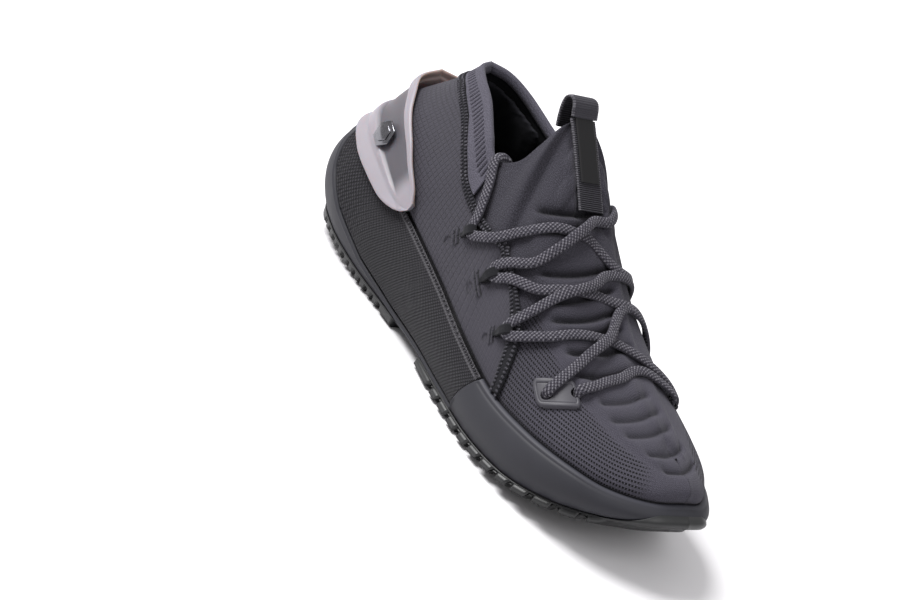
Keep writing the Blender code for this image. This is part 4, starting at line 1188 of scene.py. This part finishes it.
def build_collar(stuff):
    patches = []
    for side in (LATERAL, MEDIAL):
        s = stations(0, 4.52, 0.45, 0.9, side)
        s2, v = spread(s, braid_height(s) + 0.042, 1, 44)
        point, normal = upper(s2, v, side)
        rim_run = arc(upper_face(FINE, np.full_like(FINE, 0.92), side))
        x = np.interp(s2, FINE, rim_run)
        up = arc(point)
        left = up[:, -1:] - up
        slit = np.abs((x / 2.7) % 1 - 0.5) * 2.7
        long = window(left, 4.4, 10.5, 0.8) * window(up, 1.8, 60, 0.8)
        cutting = ease((0.55 - slit) / 0.45) * long
        swell = (1 - (np.clip(1.35 - slit, 0, 1.35) / 1.35) ** 2) * long
        point = point + normal * (GAP + RIB_THICK + 0.55 * swell - 0.55 * cutting + 0.4 * (1 - long))[..., None]
        top, out = point[:, -1], normal[:, -1]
        rolled = [top - out * inwards + (0, 0, rise) for inwards, rise in
                  ((0.5, 0.7), (1.4, 1.0), (2.4, 0.9), (3.3, 0.3), (3.7, -0.8), (3.9, -3.0))]
        grid = np.concatenate([point, np.stack(rolled, 1)], 1)
        place_at = cloth(s2, v, side)
        extra = place_at[:, -1:] + np.array((0, 1.0, 0)) * np.arange(1, 7)[None, :, None]
        # Painted shade in "dark" darkens the sunken slits between the ribs.
        values = {"cloth": np.concatenate([place_at, extra], 1), "open": np.zeros(grid.shape[:2]),
                  "pale": np.full(grid.shape[:2], 0.3),
                  "dark": np.concatenate([0.85 * cutting, np.zeros((len(s), 6))], 1)}
        patches.append((side, grid, values))
    made = sheet_piece("ribbed_collar", patches, 0.9, stuff)
    place(made, "shoe", "knit", "collar_rib")


# ---- heel counter ------------------------------------------------------------------------------------
def heel_skin(s, z, side):
    """Outside of the foam and the upper at heights z of one station, without the step between them."""
    low = float(line(GROUND_EDGE, s, side)[2])
    high = float(line(BITE, s, side)[2])
    v = np.linspace(0, 1, 101)
    column = upper_face(np.full(101, s), v, side)
    rising = np.maximum.accumulate(column[:, 2] + v * 1e-6)
    above = upper_face(np.full(len(z), s), np.interp(z, rising, v), side)
    fade = ease((z - high) / 14.0)
    level = outwards(s, side)
    above = above + level * ((WALL + GAP) * (1 - fade))[:, None]
    below = wall(np.full(len(z), s), (z - low) / (high - low), side)
    return np.where((z <= high)[:, None], below, above)


def counter_shape(k):
    """How far the counter's lips stand out, and how it leans back, at heights k from 0 to 1."""
    return np.maximum(np.abs(2 * k - 1) - 0.55, 0) / 0.45, (np.maximum(k - 0.35, 0) / 0.65) ** 1.5


def counter_ring(s, side, rows=64):
    """One section of the counter: up its outside, round the top lip and down its inside."""
    low, high = float(smooth(COUNTER_LOW, s)[..., 0]), float(smooth(COUNTER_HIGH, s)[..., 0])
    flare = max(float(smooth(COUNTER_FLARE, s)[..., 0]), 0.0)
    k = 0.5 - 0.5 * np.cos(np.linspace(0, math.pi, rows))
    z = low + (high - low) * k
    level = outwards(s, side)
    tip = ease((s - 3.05) / 0.4)
    recess = window(k, 0.38, 0.84, 0.05) * (1 - tip)
    rim, lean = counter_shape(k)
    away = 3.7 + 1.2 * rim - 1.5 * recess
    skin = heel_skin(s, z, side) + level * away[:, None]
    skin[:, 0] -= flare * lean
    thick = 2.4 * rounded(np.minimum(k, 1 - k) * (high - low) / 1.6) + 0.02
    thick *= 1 - 0.35 * recess
    outer = skin + level * ((thick - 2.4) * 0.5)[:, None]
    inner = outer - level * thick[:, None]
    back = np.full(rows, 0.35)
    warm = np.maximum(k - 0.6, 0) * 2.0
    return (np.concatenate([outer, inner[::-1]]), np.concatenate([1 - recess, back]),
            np.concatenate([0 * k, warm[::-1]]))


def build_counter(stuff):
    s_lateral = 3.68 * (1 - (1 - np.linspace(0, 1, 150)) ** 1.15)
    where = [(value, LATERAL) for value in s_lateral[::-1]] + [(value, MEDIAL) for value in s_lateral[1:]]
    rings, lips, warms = zip(*(counter_ring(value, side) for value, side in where))
    made = rings_piece("heel_clip", rings, stuff,
                       {"lip": np.array(lips).ravel(), "warm": np.array(warms).ravel()})
    made.data.set_sharp_from_angle(angle=math.radians(70))
    place(made, "shoe", "smoked_tpu", "heel_counter")


def solid_plate(name, outline, base, thickness, stuff, bevel=0.4):
    """A plate from an outline and a direction; base and outline are points in millimetres."""
    count = len(outline)
    lower = np.asarray(outline, float)
    upper_row = lower + np.asarray(base, float) * thickness
    faces = [list(range(count))[::-1], list(range(count, 2 * count))]
    faces += [[i, (i + 1) % count, count + (i + 1) % count, count + i] for i in range(count)]
    made = object_from(name, np.concatenate([lower, upper_row]), faces, stuff)
    turn_out(made)
    edge = made.modifiers.new("edge", "BEVEL")
    edge.width = bevel * MM
    edge.segments = 3
    apply_modifiers(made)
    made.data.shade_smooth()
    made.data.set_sharp_from_angle(angle=math.radians(30))
    return made


def build_emblem(stuff):
    """A six-sided badge with a smaller raised plate on it."""
    k = np.array([0.0, 0.08, 0.2, 0.4, 0.6, 0.8, 0.92, 1.0])

    def column(s):
        low, high = float(straight(COUNTER_LOW, s)), float(straight(COUNTER_HIGH, s))
        rim, lean = counter_shape(k)
        point = heel_skin(s, low + (high - low) * k, LATERAL)
        point = point + outwards(s, LATERAL) * (3.2 + 1.2 * rim)[:, None]
        point[:, 0] -= float(straight(COUNTER_FLARE, s)) * lean
        return point

    here, ahead = column(EMBLEM_STATION), column(EMBLEM_STATION + 0.1)
    middle = (here[3] + here[4]) / 2
    up = unit(here[4] - here[3])
    face = unit(np.cross(up, ahead[4] - here[4]))
    face = -face if face[1] > 0 else face
    along = np.cross(face, up)
    turn = np.arange(6) * math.pi / 3

    def hexagon(size, away):
        return (middle + face * away + np.outer(np.cos(turn) * 8.5 * size, along)
                + np.outer(np.sin(turn) * 7.5 * size, up))

    pieces = [solid_plate("badge", hexagon(1.0, 0.3), face, 1.3, stuff),
              solid_plate("inner_plate", hexagon(0.66, 1.5), face, 0.9, stuff, 0.35)]
    place(join("heel_badge", pieces), "shoe", "dark_chrome", "heel_emblem")


# ---- lace --------------------------------------------------------------------------------------------
def make_tree():
    """Outer face of the upper as triangles, to drop the lace on."""
    points, faces, start = [], [], 0
    s, v = np.meshgrid(np.linspace(3.5, 10.5, 57), np.linspace(0.02, 1, 25), indexing="ij")
    for side in (LATERAL, MEDIAL):
        points += [Vector(p) for p in upper_face(s, v, side).reshape(-1, 3)]
        faces += grid_faces(57, 25, start, side == MEDIAL)
        start = len(points)
    return BVHTree.FromPolygons(points, faces)


TREE = make_tree()


def drape(point, lift):
    lean = float(np.interp(point[0], (0, 100), (0.85, 0.25)))
    origin = Vector((point[0] - lean * (point[2] - 36.0), 0.0, 36.0))
    way = (Vector(point) - origin).normalized()
    found, normal = TREE.ray_cast(origin, way)[:2]
    if normal.dot(way) < 0:
        normal.negate()
    return found + normal * lift, normal


def locate(point, side):
    """The station of a point near the upper, and how far it is from the ridge, negative on the outer side."""
    s, v = np.meshgrid(np.linspace(4, 10, 361), np.linspace(0.02, 1, 148), indexing="ij")
    near = np.linalg.norm(upper_face(s, v, side) - np.array(point), axis=-1)
    i, j = np.unravel_index(near.argmin(), near.shape)
    return s[i, j], side * (1 - v[i, j])


def leg(begin, end, via, over_at, lift_begin, lift_end):
    """A lace run over the instep between two points, each given with its side, by way of some places."""
    knots = np.array([locate(*begin), *via, locate(*end)])
    knots = knots if begin[1] == LATERAL else np.array([knots[0], *knots[-2:0:-1], knots[-1]])
    sides = np.where(knots[:, 1] < 0, -1, 1)
    rough = np.array([upper_face(s, 1 - abs(u), side) for (s, u), side in zip(knots, sides)])
    run = arc(rough) / arc(rough)[-1]
    path = []
    for f in np.linspace(0, 1, 34)[2:-2]:
        s, u = smooth(np.column_stack([run, knots]), f)
        lift = UNDER_LIFT + (OVER_LIFT - UNDER_LIFT) * (ease(1.5 - abs(f - over_at) / 0.13) if over_at else 0.0)
        near_begin, near_end = ease(1 - f / 0.2), ease(1 - (1 - f) / 0.2)
        lift += (lift_begin - lift) * near_begin + (lift_end - lift) * near_end
        path.append(on_upper(s, 1 - abs(u), LATERAL if u < 0 else MEDIAL, float(lift)))
    return path


def turn_frame(number, side):
    found, normal = drape(TURNS[side][number], 0.0)
    mouth, oval = (on_upper(*at_side(places[number], side), side, 0.0) for places in (NOTCHES, OVALS))
    up = mouth - oval
    up = (up - normal * up.dot(normal)).normalized()
    found = mouth + up * 3.0
    forward = normal.cross(up)
    if forward.x < 0:
        forward.negate()
    return found, normal, forward, up


def turn_points(number, side):
    found, normal, forward, up = turn_frame(number, side)
    return [found + normal * TURN_LIFT + forward * math.cos(angle) * TURN_R
            + up * (1 - math.sin(angle)) * TURN_R for angle in (math.pi * i / 6 for i in range(7))]


def turn_side(number, side, ahead):
    found, _, forward, up = turn_frame(number, side)
    return found + forward * (TURN_R if ahead else -TURN_R) + up * TURN_R


def hole_frame(number, side):
    return drape(PATCH_HOLES[side][number], 0.0)


def through_patch(side):
    path = []
    for number, order in ((1, (HOLE_LIFT, 1.6, 0.0, -2.4)), (0, (-2.4, 0.0, 1.6, HOLE_LIFT))):
        found, normal = hole_frame(number, side)
        path += [found + normal * depth for depth in order]
    a, na = hole_frame(1, side)
    b, nb = hole_frame(0, side)
    inner = [(a.lerp(b, f) + (na + nb).normalized() * -4.6) for f in (0.25, 0.5, 0.75)]
    return path[:4] + inner + path[4:]


def on_upper(s, v, side, away):
    point, normal = upper(s, v, side)
    return Vector(point + normal * away)


def lace_end(side):
    rim = on_upper(V_POINT - 0.1, 1.0, side, 0.0)
    return [on_upper(4.8, 0.6, side, 3.0), on_upper(4.64, 0.78, side, 2.6),
            on_upper(V_POINT + 0.1, 0.93, side, 2.6),
            rim + Vector((3, side * 1.2, 2.4)), rim + Vector((5, -side * 3.0, 2.2)),
            rim + Vector((7, -side * 6.0, -1.5)), rim + Vector((10, -side * 8.0, -10)),
            rim + Vector((14, -side * 10, -24)), rim + Vector((20, -side * 12, -38))]


# How each lace run crosses the instep: places on the way from the outer side to the inner one, as station
# and share of the way down from the ridge, and where along it another run lies underneath.
RUNS = {"hole_to_third": ([(8.45, -0.36), (8.55, -0.06), (7.72, 0.27)], 0.40),
        "third_to_second": ([(7.06, -0.46), (8.0, -0.01), (7.66, 0.31)], 0.0),
        "second_to_first": ([(6.72, -0.46), (7.02, -0.06), (6.77, 0.22)], 0.36),
        "hole_to_far": ([(7.79, -0.45), (8.66, -0.06), (8.64, 0.27)], 0.0),
        "far_to_near": ([(7.19, -0.48), (7.75, -0.10), (7.36, 0.23)], 0.38),
        "near_to_first": ([(6.15, -0.52), (7.25, -0.03), (7.29, 0.24)], 0.0),
        "bar": ([(9.0, -0.34), (9.31, -0.06), (8.92, 0.24)], 0.0)}
ORDER = {LATERAL: ("hole_to_third", "third_to_second", "second_to_first"),
         MEDIAL: ("hole_to_far", "far_to_near", "near_to_first")}


def lace_route():
    half = {}
    for side in (LATERAL, MEDIAL):
        points = through_patch(side)
        begin, hand, lift = (hole_frame(0, side)[0], side), side, HOLE_LIFT
        for number, name in zip((2, 1, 0), ORDER[side]):
            hand = -hand
            via, over_at = RUNS[name]
            over_at = over_at if begin[1] == LATERAL or not over_at else 1 - over_at
            points += leg(begin, (turn_side(number, hand, True), hand), via, over_at, lift, TURN_LIFT)
            points += turn_points(number, hand)
            begin, lift = (turn_side(number, hand, False), hand), TURN_LIFT
        points += lace_end(hand)
        half[side] = points
    ends = [(hole_frame(1, side)[0], side) for side in (LATERAL, MEDIAL)]
    bar = leg(*ends, *RUNS["bar"], HOLE_LIFT, HOLE_LIFT)
    return half[LATERAL][::-1] + bar + half[MEDIAL]


def evenly(points, spacing):
    points = np.array([tuple(p) for p in points])
    steps = np.linalg.norm(np.diff(points, axis=0), axis=1)
    points = points[np.concatenate([[True], steps > 0.5])]
    run = arc(points)
    curve = smooth(np.column_stack([run, points]), np.linspace(0, run[-1], int(run[-1] / 3.2) + 1))
    curve[1:-1] = (curve[:-2] + 2 * curve[1:-1] + curve[2:]) / 4
    run = arc(curve)
    return smooth(np.column_stack([run, curve]), np.linspace(0, run[-1], int(run[-1] / spacing) + 1))


def build_lace(stuff):
    path = evenly(lace_route(), LACE_STEP)
    out = []
    for point in path:
        normal = TREE.find_nearest(Vector(point))[1]
        middle = Vector(point) - Vector((point[0] - 0.6 * (point[2] - 36.0), 0, 36.0))
        out.append(np.array(normal if normal.dot(middle) > 0 else -normal))
    out = np.array(out)
    weights = np.hanning(61)
    weights /= weights.sum()
    padded = np.concatenate([np.repeat(out[:1], 30, 0), out, np.repeat(out[-1:], 30, 0)])
    out = np.stack([np.convolve(padded[:, axis], weights, "valid") for axis in range(3)], -1)
    along = unit(np.gradient(path, axis=0))
    out = out - along * (out * along).sum(-1, keepdims=True)
    out /= np.maximum(np.linalg.norm(out, axis=-1, keepdims=True), 1e-6)
    across = np.cross(along, out)
    around = 30
    turn = np.arange(around) * 2 * math.pi / around
    wide, thick = (np.sign(part) * np.abs(part) ** power
                   for part, power in ((np.cos(turn), 0.85), (np.sin(turn), 0.75)))
    run = np.arange(len(path)) * LACE_STEP
    spot = wide * LACE_WIDE / 2
    skip = np.where(thick >= 0, 0.0, STRAND / 2)
    strands = [((run[:, None] + way * spot + skip) / STRAND) % 1 - 0.5 for way in (1, -1)]
    strand = np.maximum(*(ease((0.5 - np.abs(part)) / 0.3) for part in strands))
    relief = 0.28 * (strand - 1)
    rings = (path[:, None] + across[:, None] * ((wide[None] * (LACE_WIDE / 2 + 0.5 * relief))[..., None])
             + out[:, None] * ((thick[None] * (LACE_THICK / 2 + relief))[..., None]))
    values = lay(run[:, None] + skip[None], spot[None]).reshape(-1, 3)
    made = rings_piece("braided_lace", rings, stuff, {"cloth": values})
    place(made, "shoe", "lace_yarn", "lace")
    return run[-1]


def build_aglets(stuff):
    for side, word in SIDES:
        path = [np.array(p) for p in lace_end(side)]
        way = unit(path[-1] - path[-2])
        a = unit(np.cross(way, (0.0, 1.0, 0.0)))
        b = np.cross(way, a)
        along = np.array([0, 0.3, 0.8, 1.5, 12.4, 13.3, 13.8, 14.0])
        radius = np.array([1.3, 1.7, 1.85, 1.75, 1.7, 1.55, 1.2, 0.7])
        turn = np.arange(24) * 2 * math.pi / 24
        circle = np.outer(np.cos(turn), a) + np.outer(np.sin(turn), b)
        start = path[-1] + way * GAP
        rings = start + way * along[:, None, None] + circle[None] * radius[:, None, None]
        values = lay(along[:, None], turn[None] * 1.8).reshape(-1, 3)
        made = rings_piece("lace_tip_" + word, rings, stuff, {"cloth": values})
        place(made, "shoe", "tip_plastic", "aglet_" + word)


def build_loops(stuff):
    profile = [(-7.5, 0.9), (-5.5, 1.2), (-3.8, 1.5), (-1.5, 1.7), (0.3, 1.7)]
    profile += [(1.2 + 3.2 * math.cos(a), TURN_LIFT + 2.3 * math.sin(a))
                for a in np.radians((-60, -30, 0, 30, 60, 90))]
    profile += [(-1.6, TURN_LIFT + 1.6), (-3.6, TURN_LIFT + 0.2), (-5.4, TURN_LIFT - 1.2), (-7.2, 1.6)]
    half_widths = np.array([0.8, 1.3, 1.8, 2.1, 2.3, 2.4, 2.4, 2.4, 2.4, 2.4, 2.3, 2.2, 1.9, 1.4, 0.8])
    profile, half_widths = np.array(profile), half_widths[:len(profile)]
    run = arc(profile)
    fine = np.linspace(0, run[-1], 60)
    profile = smooth(np.column_stack([run, profile]), fine)
    half_widths = np.interp(fine, run, half_widths)
    for side, word in SIDES:
        for number in range(3):
            found, normal, forward, up = (np.array(p) for p in turn_frame(number, side))
            offsets = np.linspace(-1, 1, 9)
            grid = (found + up * profile[:, :1, None] + normal * profile[:, 1:, None]
                    + forward * (offsets[None, :, None] * half_widths[:, None, None]))
            values = {"cloth": lay(fine[:, None], offsets[None] * 2.4)}
            made = sheet_piece(f"eyestay_loop_{word}_{number + 1}", [(side, grid, values)], 0.8, stuff)
            place(made, "shoe", "braid", f"lace_loop_{word}_{number + 1}")


PATCH_CORNERS = {LATERAL: ((7.62, 0.29), (7.95, 0.215), (8.78, 0.43), (8.42, 0.50)),
                 MEDIAL: ((7.62, 0.35), (7.95, 0.27), (8.7, 0.46), (8.4, 0.52))}


def build_patches(stuff):
    for side, word in SIDES:
        a, b, c, d = (np.array(corner) for corner in PATCH_CORNERS[side])
        i, j = np.meshgrid(np.linspace(0, 1, 90), np.linspace(0, 1, 50), indexing="ij")
        i2, j2 = i[..., None], j[..., None]
        place_at = a * (1 - i2) * (1 - j2) + b * (1 - i2) * j2 + c * i2 * j2 + d * i2 * (1 - j2)
        s, v = place_at[..., 0], place_at[..., 1]
        point, normal = upper(s, v, side)
        height, _ = vamp_height(s, v, side)
        long, wide = 38.0, 14.0
        edge = np.minimum(np.minimum(i, 1 - i) * long, np.minimum(j, 1 - j) * wide)
        cx = np.maximum(4.0 - np.minimum(i, 1 - i) * long, 0)
        cy = np.maximum(4.0 - np.minimum(j, 1 - j) * wide, 0)
        edge = np.where((cx > 0) & (cy > 0), 4.0 - np.hypot(cx, cy), edge)
        border = window(edge, 0.3, 1.8, 0.5)
        away = 0.75 + 0.35 * border - 0.75 * ease((0.6 - edge) / 0.6) + np.minimum(height, 0.6)
        grid = point + normal * away[..., None]
        values = {"cloth": lay(i * long, j * wide), "out": np.clip(-edge, 0, 1)}
        made = sheet_piece("eyelet_film_" + word, [(side, grid, values)], 0, stuff)
        trim(made, "out")
        drill(made, [hole_frame(number, side) for number in (0, 1)], 3.0)
        thicken(made, 0.7)
        made.data.set_sharp_from_angle(angle=math.radians(60))
        place(made, "shoe", "film", "eyelet_patch_" + word)


def trim(made, word):
    """Take out the points where a value is above 0."""
    values = np.empty(len(made.data.vertices), np.float32)
    made.data.attributes[word].data.foreach_get("value", values)
    with edited(made.data) as work:
        gone = [vertex for vertex, value in zip(work.verts, values) if value > 0]
        bmesh.ops.delete(work, geom=gone, context="VERTS")


# ---- pull tab ----------------------------------------------------------------------------------------
def strip(name, profile, half_width, thickness, stuff, relief=0.0, pitch=1.05, face=MEDIAL):
    """A flat band across the shoe's middle with fine cross ribs, from the side view of one face."""
    profile = np.asarray(profile, float)
    run = arc(profile)
    fine = np.linspace(0, run[-1], int(run[-1] / 0.16))
    rows = smooth(np.column_stack([run, profile]), fine)
    way = unit(np.gradient(rows, axis=0))
    out = np.stack([way[:, 1], -way[:, 0]], -1)
    out *= np.sign((out * (rows - rows.mean(0))).sum()) if face == LATERAL else np.sign(out[:, 1].sum())
    y = np.linspace(-half_width, half_width, 41)
    x2, y2 = np.meshgrid(fine, y, indexing="ij")
    edge = ease((half_width - np.abs(y2)) / 0.8)
    border = ease((half_width - 1.5 - np.abs(y2)) / 0.2)
    ribs = waves(x2, pitch) * (0.5 + 0.5 * border)
    away = relief * (ribs - 0.5) - 0.35 * (1 - edge)
    grid = np.stack([rows[:, 0:1] + out[:, 0:1] * away, y2, rows[:, 1:2] + out[:, 1:2] * away], -1)
    values = {"cloth": lay(x2, y2)}
    return sheet_piece(name, [(face, grid, values)], thickness, stuff)


def build_pull_tab(webbing, label_stuff):
    s = np.linspace(6.93, 6.08, 8)
    point, normal = upper(s, np.ones(8), LATERAL)
    ridge = point + normal * (1.1 + GAP + 1.5)
    strap = [(p[0], p[2]) for p in ridge]
    end = 2.4 * unit(ridge[-1] - ridge[-2])
    strap.append((strap[-1][0] + end[0], strap[-1][1] + end[2]))
    made = strip("pull_tab_strap", strap, STRAP_HALF, WEBBING_THICK, webbing, 0.32)
    place(made, "tongue", "webbing", "pull_strap")
    rise = GAP + 0.5
    label = [(x + 0.66 * rise, z + 0.75 * rise) for x, z in strap[2:]]
    made = strip("blank_label", label, 5.9, 0.5, label_stuff)
    place(made, "tongue", "film", "tab_label")
    fold = [(-28.6, 139.6), (-29.7, 141.5), (-31.2, 144.2), (-33.4, 146.2), (-36, 146.4), (-38, 144.6),
            (-38.3, 141),
            (-37, 136), (-34.5, 130)]
    made = strip("pull_tab_loop", fold, STRAP_HALF, WEBBING_THICK, webbing, 0.32, face=LATERAL)
    place(made, "pull_loop", "webbing", "pull_loop")


# ---- inside ------------------------------------------------------------------------------------------
def build_liner(stuff):
    """The sockliner, with a rounded edge and a slightly dished top."""
    rings = []
    for value in stations(0.12, 11.88, 1.4):
        a, b = (line(FOOTBED, value, side) - outwards(value, side) * 1.2 for side in (LATERAL, MEDIAL))
        low = float(bed(value)) + GAP
        thick = float(np.interp(value, (0, 4, 8, 12), (LINER_HEEL, LINER_HEEL, LINER_TOE, 3)))
        f = 0.5 - 0.5 * np.cos(np.linspace(0, math.pi, 40))
        row = a + (b - a) * f[:, None]
        edge = np.minimum(f, 1 - f) * np.linalg.norm(b - a)
        round_off = 1.4 * (1 - rounded(edge / 1.6))
        top = np.column_stack([row[:, :2], low + thick - round_off - 0.5 * ease(edge / 18)])
        bottom = np.column_stack([row[:, :2], np.full(40, low)])
        rings.append(np.concatenate([top, bottom[::-1]]))
    made = rings_piece("padded_sockliner", rings, stuff)
    place(made, "sockliner", "lining", "sockliner")


def puff(made, pressure=4.0, cap=1.2):
    """Swell a soft piece by simulation, no point by more than cap millimetres."""
    shell = made.modifiers.new("even", "REMESH")
    shell.mode = "VOXEL"
    shell.voxel_size = 1.6 * MM
    apply_modifiers(made)
    before = np.empty(len(made.data.vertices) * 3)
    made.data.vertices.foreach_get("co", before)
    before = before.reshape(-1, 3)
    layer = made.modifiers.new("soft", "CLOTH")
    layer.settings.use_pressure = True
    layer.settings.uniform_pressure_force = pressure
    layer.settings.effector_weights.gravity = 0
    layer.settings.tension_stiffness = 12
    layer.settings.bending_stiffness = 0.6
    for step in range(1, 21):
        bpy.context.scene.frame_set(step)
    graph = bpy.context.evaluated_depsgraph_get()
    soft = made.evaluated_get(graph).to_mesh()
    after = np.empty(len(soft.vertices) * 3)
    soft.vertices.foreach_get("co", after)
    move = after.reshape(-1, 3) - before
    length = np.linalg.norm(move, axis=1, keepdims=True)
    move *= np.minimum(1.0, cap * MM / np.maximum(length, 1e-9))
    made.modifiers.clear()
    made.data.vertices.foreach_set("co", (before + move).ravel())
    bpy.context.scene.frame_set(1)
    finer = made.modifiers.new("finer", "SUBSURF")
    finer.levels = finer.render_levels = 1
    apply_modifiers(made)
    made.data.shade_smooth()


def build_heel_pads(stuff):
    for side, word in SIDES:
        s, v = np.meshgrid(np.linspace(0.3, 2.85, 40), np.linspace(0.32, 0.88, 30), indexing="ij")
        point, normal = upper(s, v, side)
        grid = point - normal * (KNIT_THICK + 1.6)
        made = sheet_piece("heel_bolster_" + word, [(side, grid, {})], 2.0, stuff)
        puff(made)
        place(made, "shoe", "lining", "heel_pad_" + word)


def carry_over(stuffs):
    """Hidden CAD nodes that stay as they are get their finish here."""
    for node, (stuff, word) in stuffs.items():
        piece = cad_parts[node]
        piece.data.materials.clear()
        piece.data.materials.append(stuff)


# ---- floor, light and camera -------------------------------------------------------------------------
WORLD = 0.62                         # strength of the even light from all round


def build_stage():
    """A pale floor, 12 m square and 0.3 mm below the sole, and an even pale surround."""
    data = bpy.data.meshes.new("floor")
    data.from_pydata([(-6, -6, 0), (6, -6, 0), (6, 6, 0), (-6, 6, 0)], [], [(0, 1, 2, 3)])
    floor = bpy.data.objects.new("floor", data)
    floor.location.z = -0.0003
    bpy.context.scene.collection.objects.link(floor)
    made = Finish("pale_floor", 0.6, Specular_IOR_Level=0.3)
    dust = made.noise(made.object_place(), 40, 3)
    made.colour(made.mix(dust, (0.70, 0.692, 0.705), (0.73, 0.722, 0.735)))
    data.materials.append(made.material)
    world = bpy.data.worlds.new("studio")
    world.use_nodes = True
    background = world.node_tree.nodes["Background"].inputs
    background["Color"].default_value = (1.0, 0.985, 1.0, 1)
    background["Strength"].default_value = WORLD
    bpy.context.scene.world = world
    bpy.context.scene.view_settings.view_transform = "Standard"


AIM = np.array((0.0, 0.0, 60.0))
CAMERA = np.array((701.0, -715.6, 480.8))
# The picture's own directions: to its right, down it and into it.
ACROSS, DOWN, AHEAD = np.array(((0.469, 0.7731, 0.4269), (0.5858, 0.0894, -0.8055),
                                (-0.661, 0.6279, -0.4109)))


def area_light(name, right, up, near, size, power):
    """A soft light placed by the picture's own directions: to its right, up, and towards the viewer."""
    data = bpy.data.lights.new(name, "AREA")
    data.shape = "DISK"
    data.size = size
    data.energy = power
    made = bpy.data.objects.new(name, data)
    bpy.context.scene.collection.objects.link(made)
    spot = (AIM + SHIFT) * MM + (ACROSS * right - DOWN * up - AHEAD * near)
    made.location = spot
    way = Vector((AIM + SHIFT) * MM - spot)
    made.rotation_euler = way.to_track_quat("-Z", "Y").to_euler()


def build_camera():
    data = bpy.data.cameras.new("camera")
    data.lens = 88.1
    data.sensor_width = 36.0
    data.clip_start = 0.01
    made = bpy.data.objects.new("camera", data)
    bpy.context.scene.collection.objects.link(made)
    turned = Matrix([ACROSS, -DOWN, -AHEAD]).transposed().to_4x4()
    made.matrix_world = Matrix.Translation((CAMERA + SHIFT) * MM) @ turned
    bpy.context.scene.camera = made


def main():
    knit, lining = knit_finish(), lining_finish()
    foam, rubber = foam_finish(), rubber_finish()
    dark_thread = thread_finish("dark_thread", (0.007, 0.007, 0.009), (0.03, 0.029, 0.035), 0.0)
    light_thread = thread_finish("flecked_thread", (0.024, 0.023, 0.029), (0.095, 0.09, 0.105), 0.12)
    webbing = webbing_finish()
    build_carrier(foam)
    build_webs(web_finish(), thread_finish("seam_thread", (0.03, 0.029, 0.034), (0.13, 0.125, 0.135), 0.12))
    build_outsole(rubber)
    build_bootie(knit, lining)
    build_tongue(knit, lining)
    build_quarter(ripstop_finish())
    build_braids(dark_thread, light_thread, light_thread)
    build_collar(knit_finish("rib_knit", shade(KNIT_COLOUR, 1.75)))
    build_counter(tpu_finish())
    build_emblem(chrome_finish())
    print("lace length mm", build_lace(lace_finish()))
    build_aglets(film_finish("tip_plastic", (0.02, 0.02, 0.022), 0.25, 0.35))
    build_loops(dark_thread)
    build_patches(film_finish("eyelet_film", (0.030, 0.0285, 0.036), 0.42, 0.55))
    build_pull_tab(webbing, film_finish("satin_label", (0.0016, 0.0015, 0.002), 0.5, 0.6))
    build_liner(lining_finish("liner_textile", (0.02, 0.02, 0.024)))
    build_heel_pads(lining)
    felt = board_finish()
    core = foam_finish("core_foam", (0.5, 0.5, 0.48))
    carry_over({"cushion_core": (core, "core_foam"), "strobel_board": (felt, "lasting_board"),
                "toe_puff": (lining, "lining")})
    build_stage()
    area_light("key", -0.5, 2.4, 0.6, 1.5, 125)
    area_light("fill", 1.5, 0.5, 1.6, 1.6, 14)
    build_camera()


main()
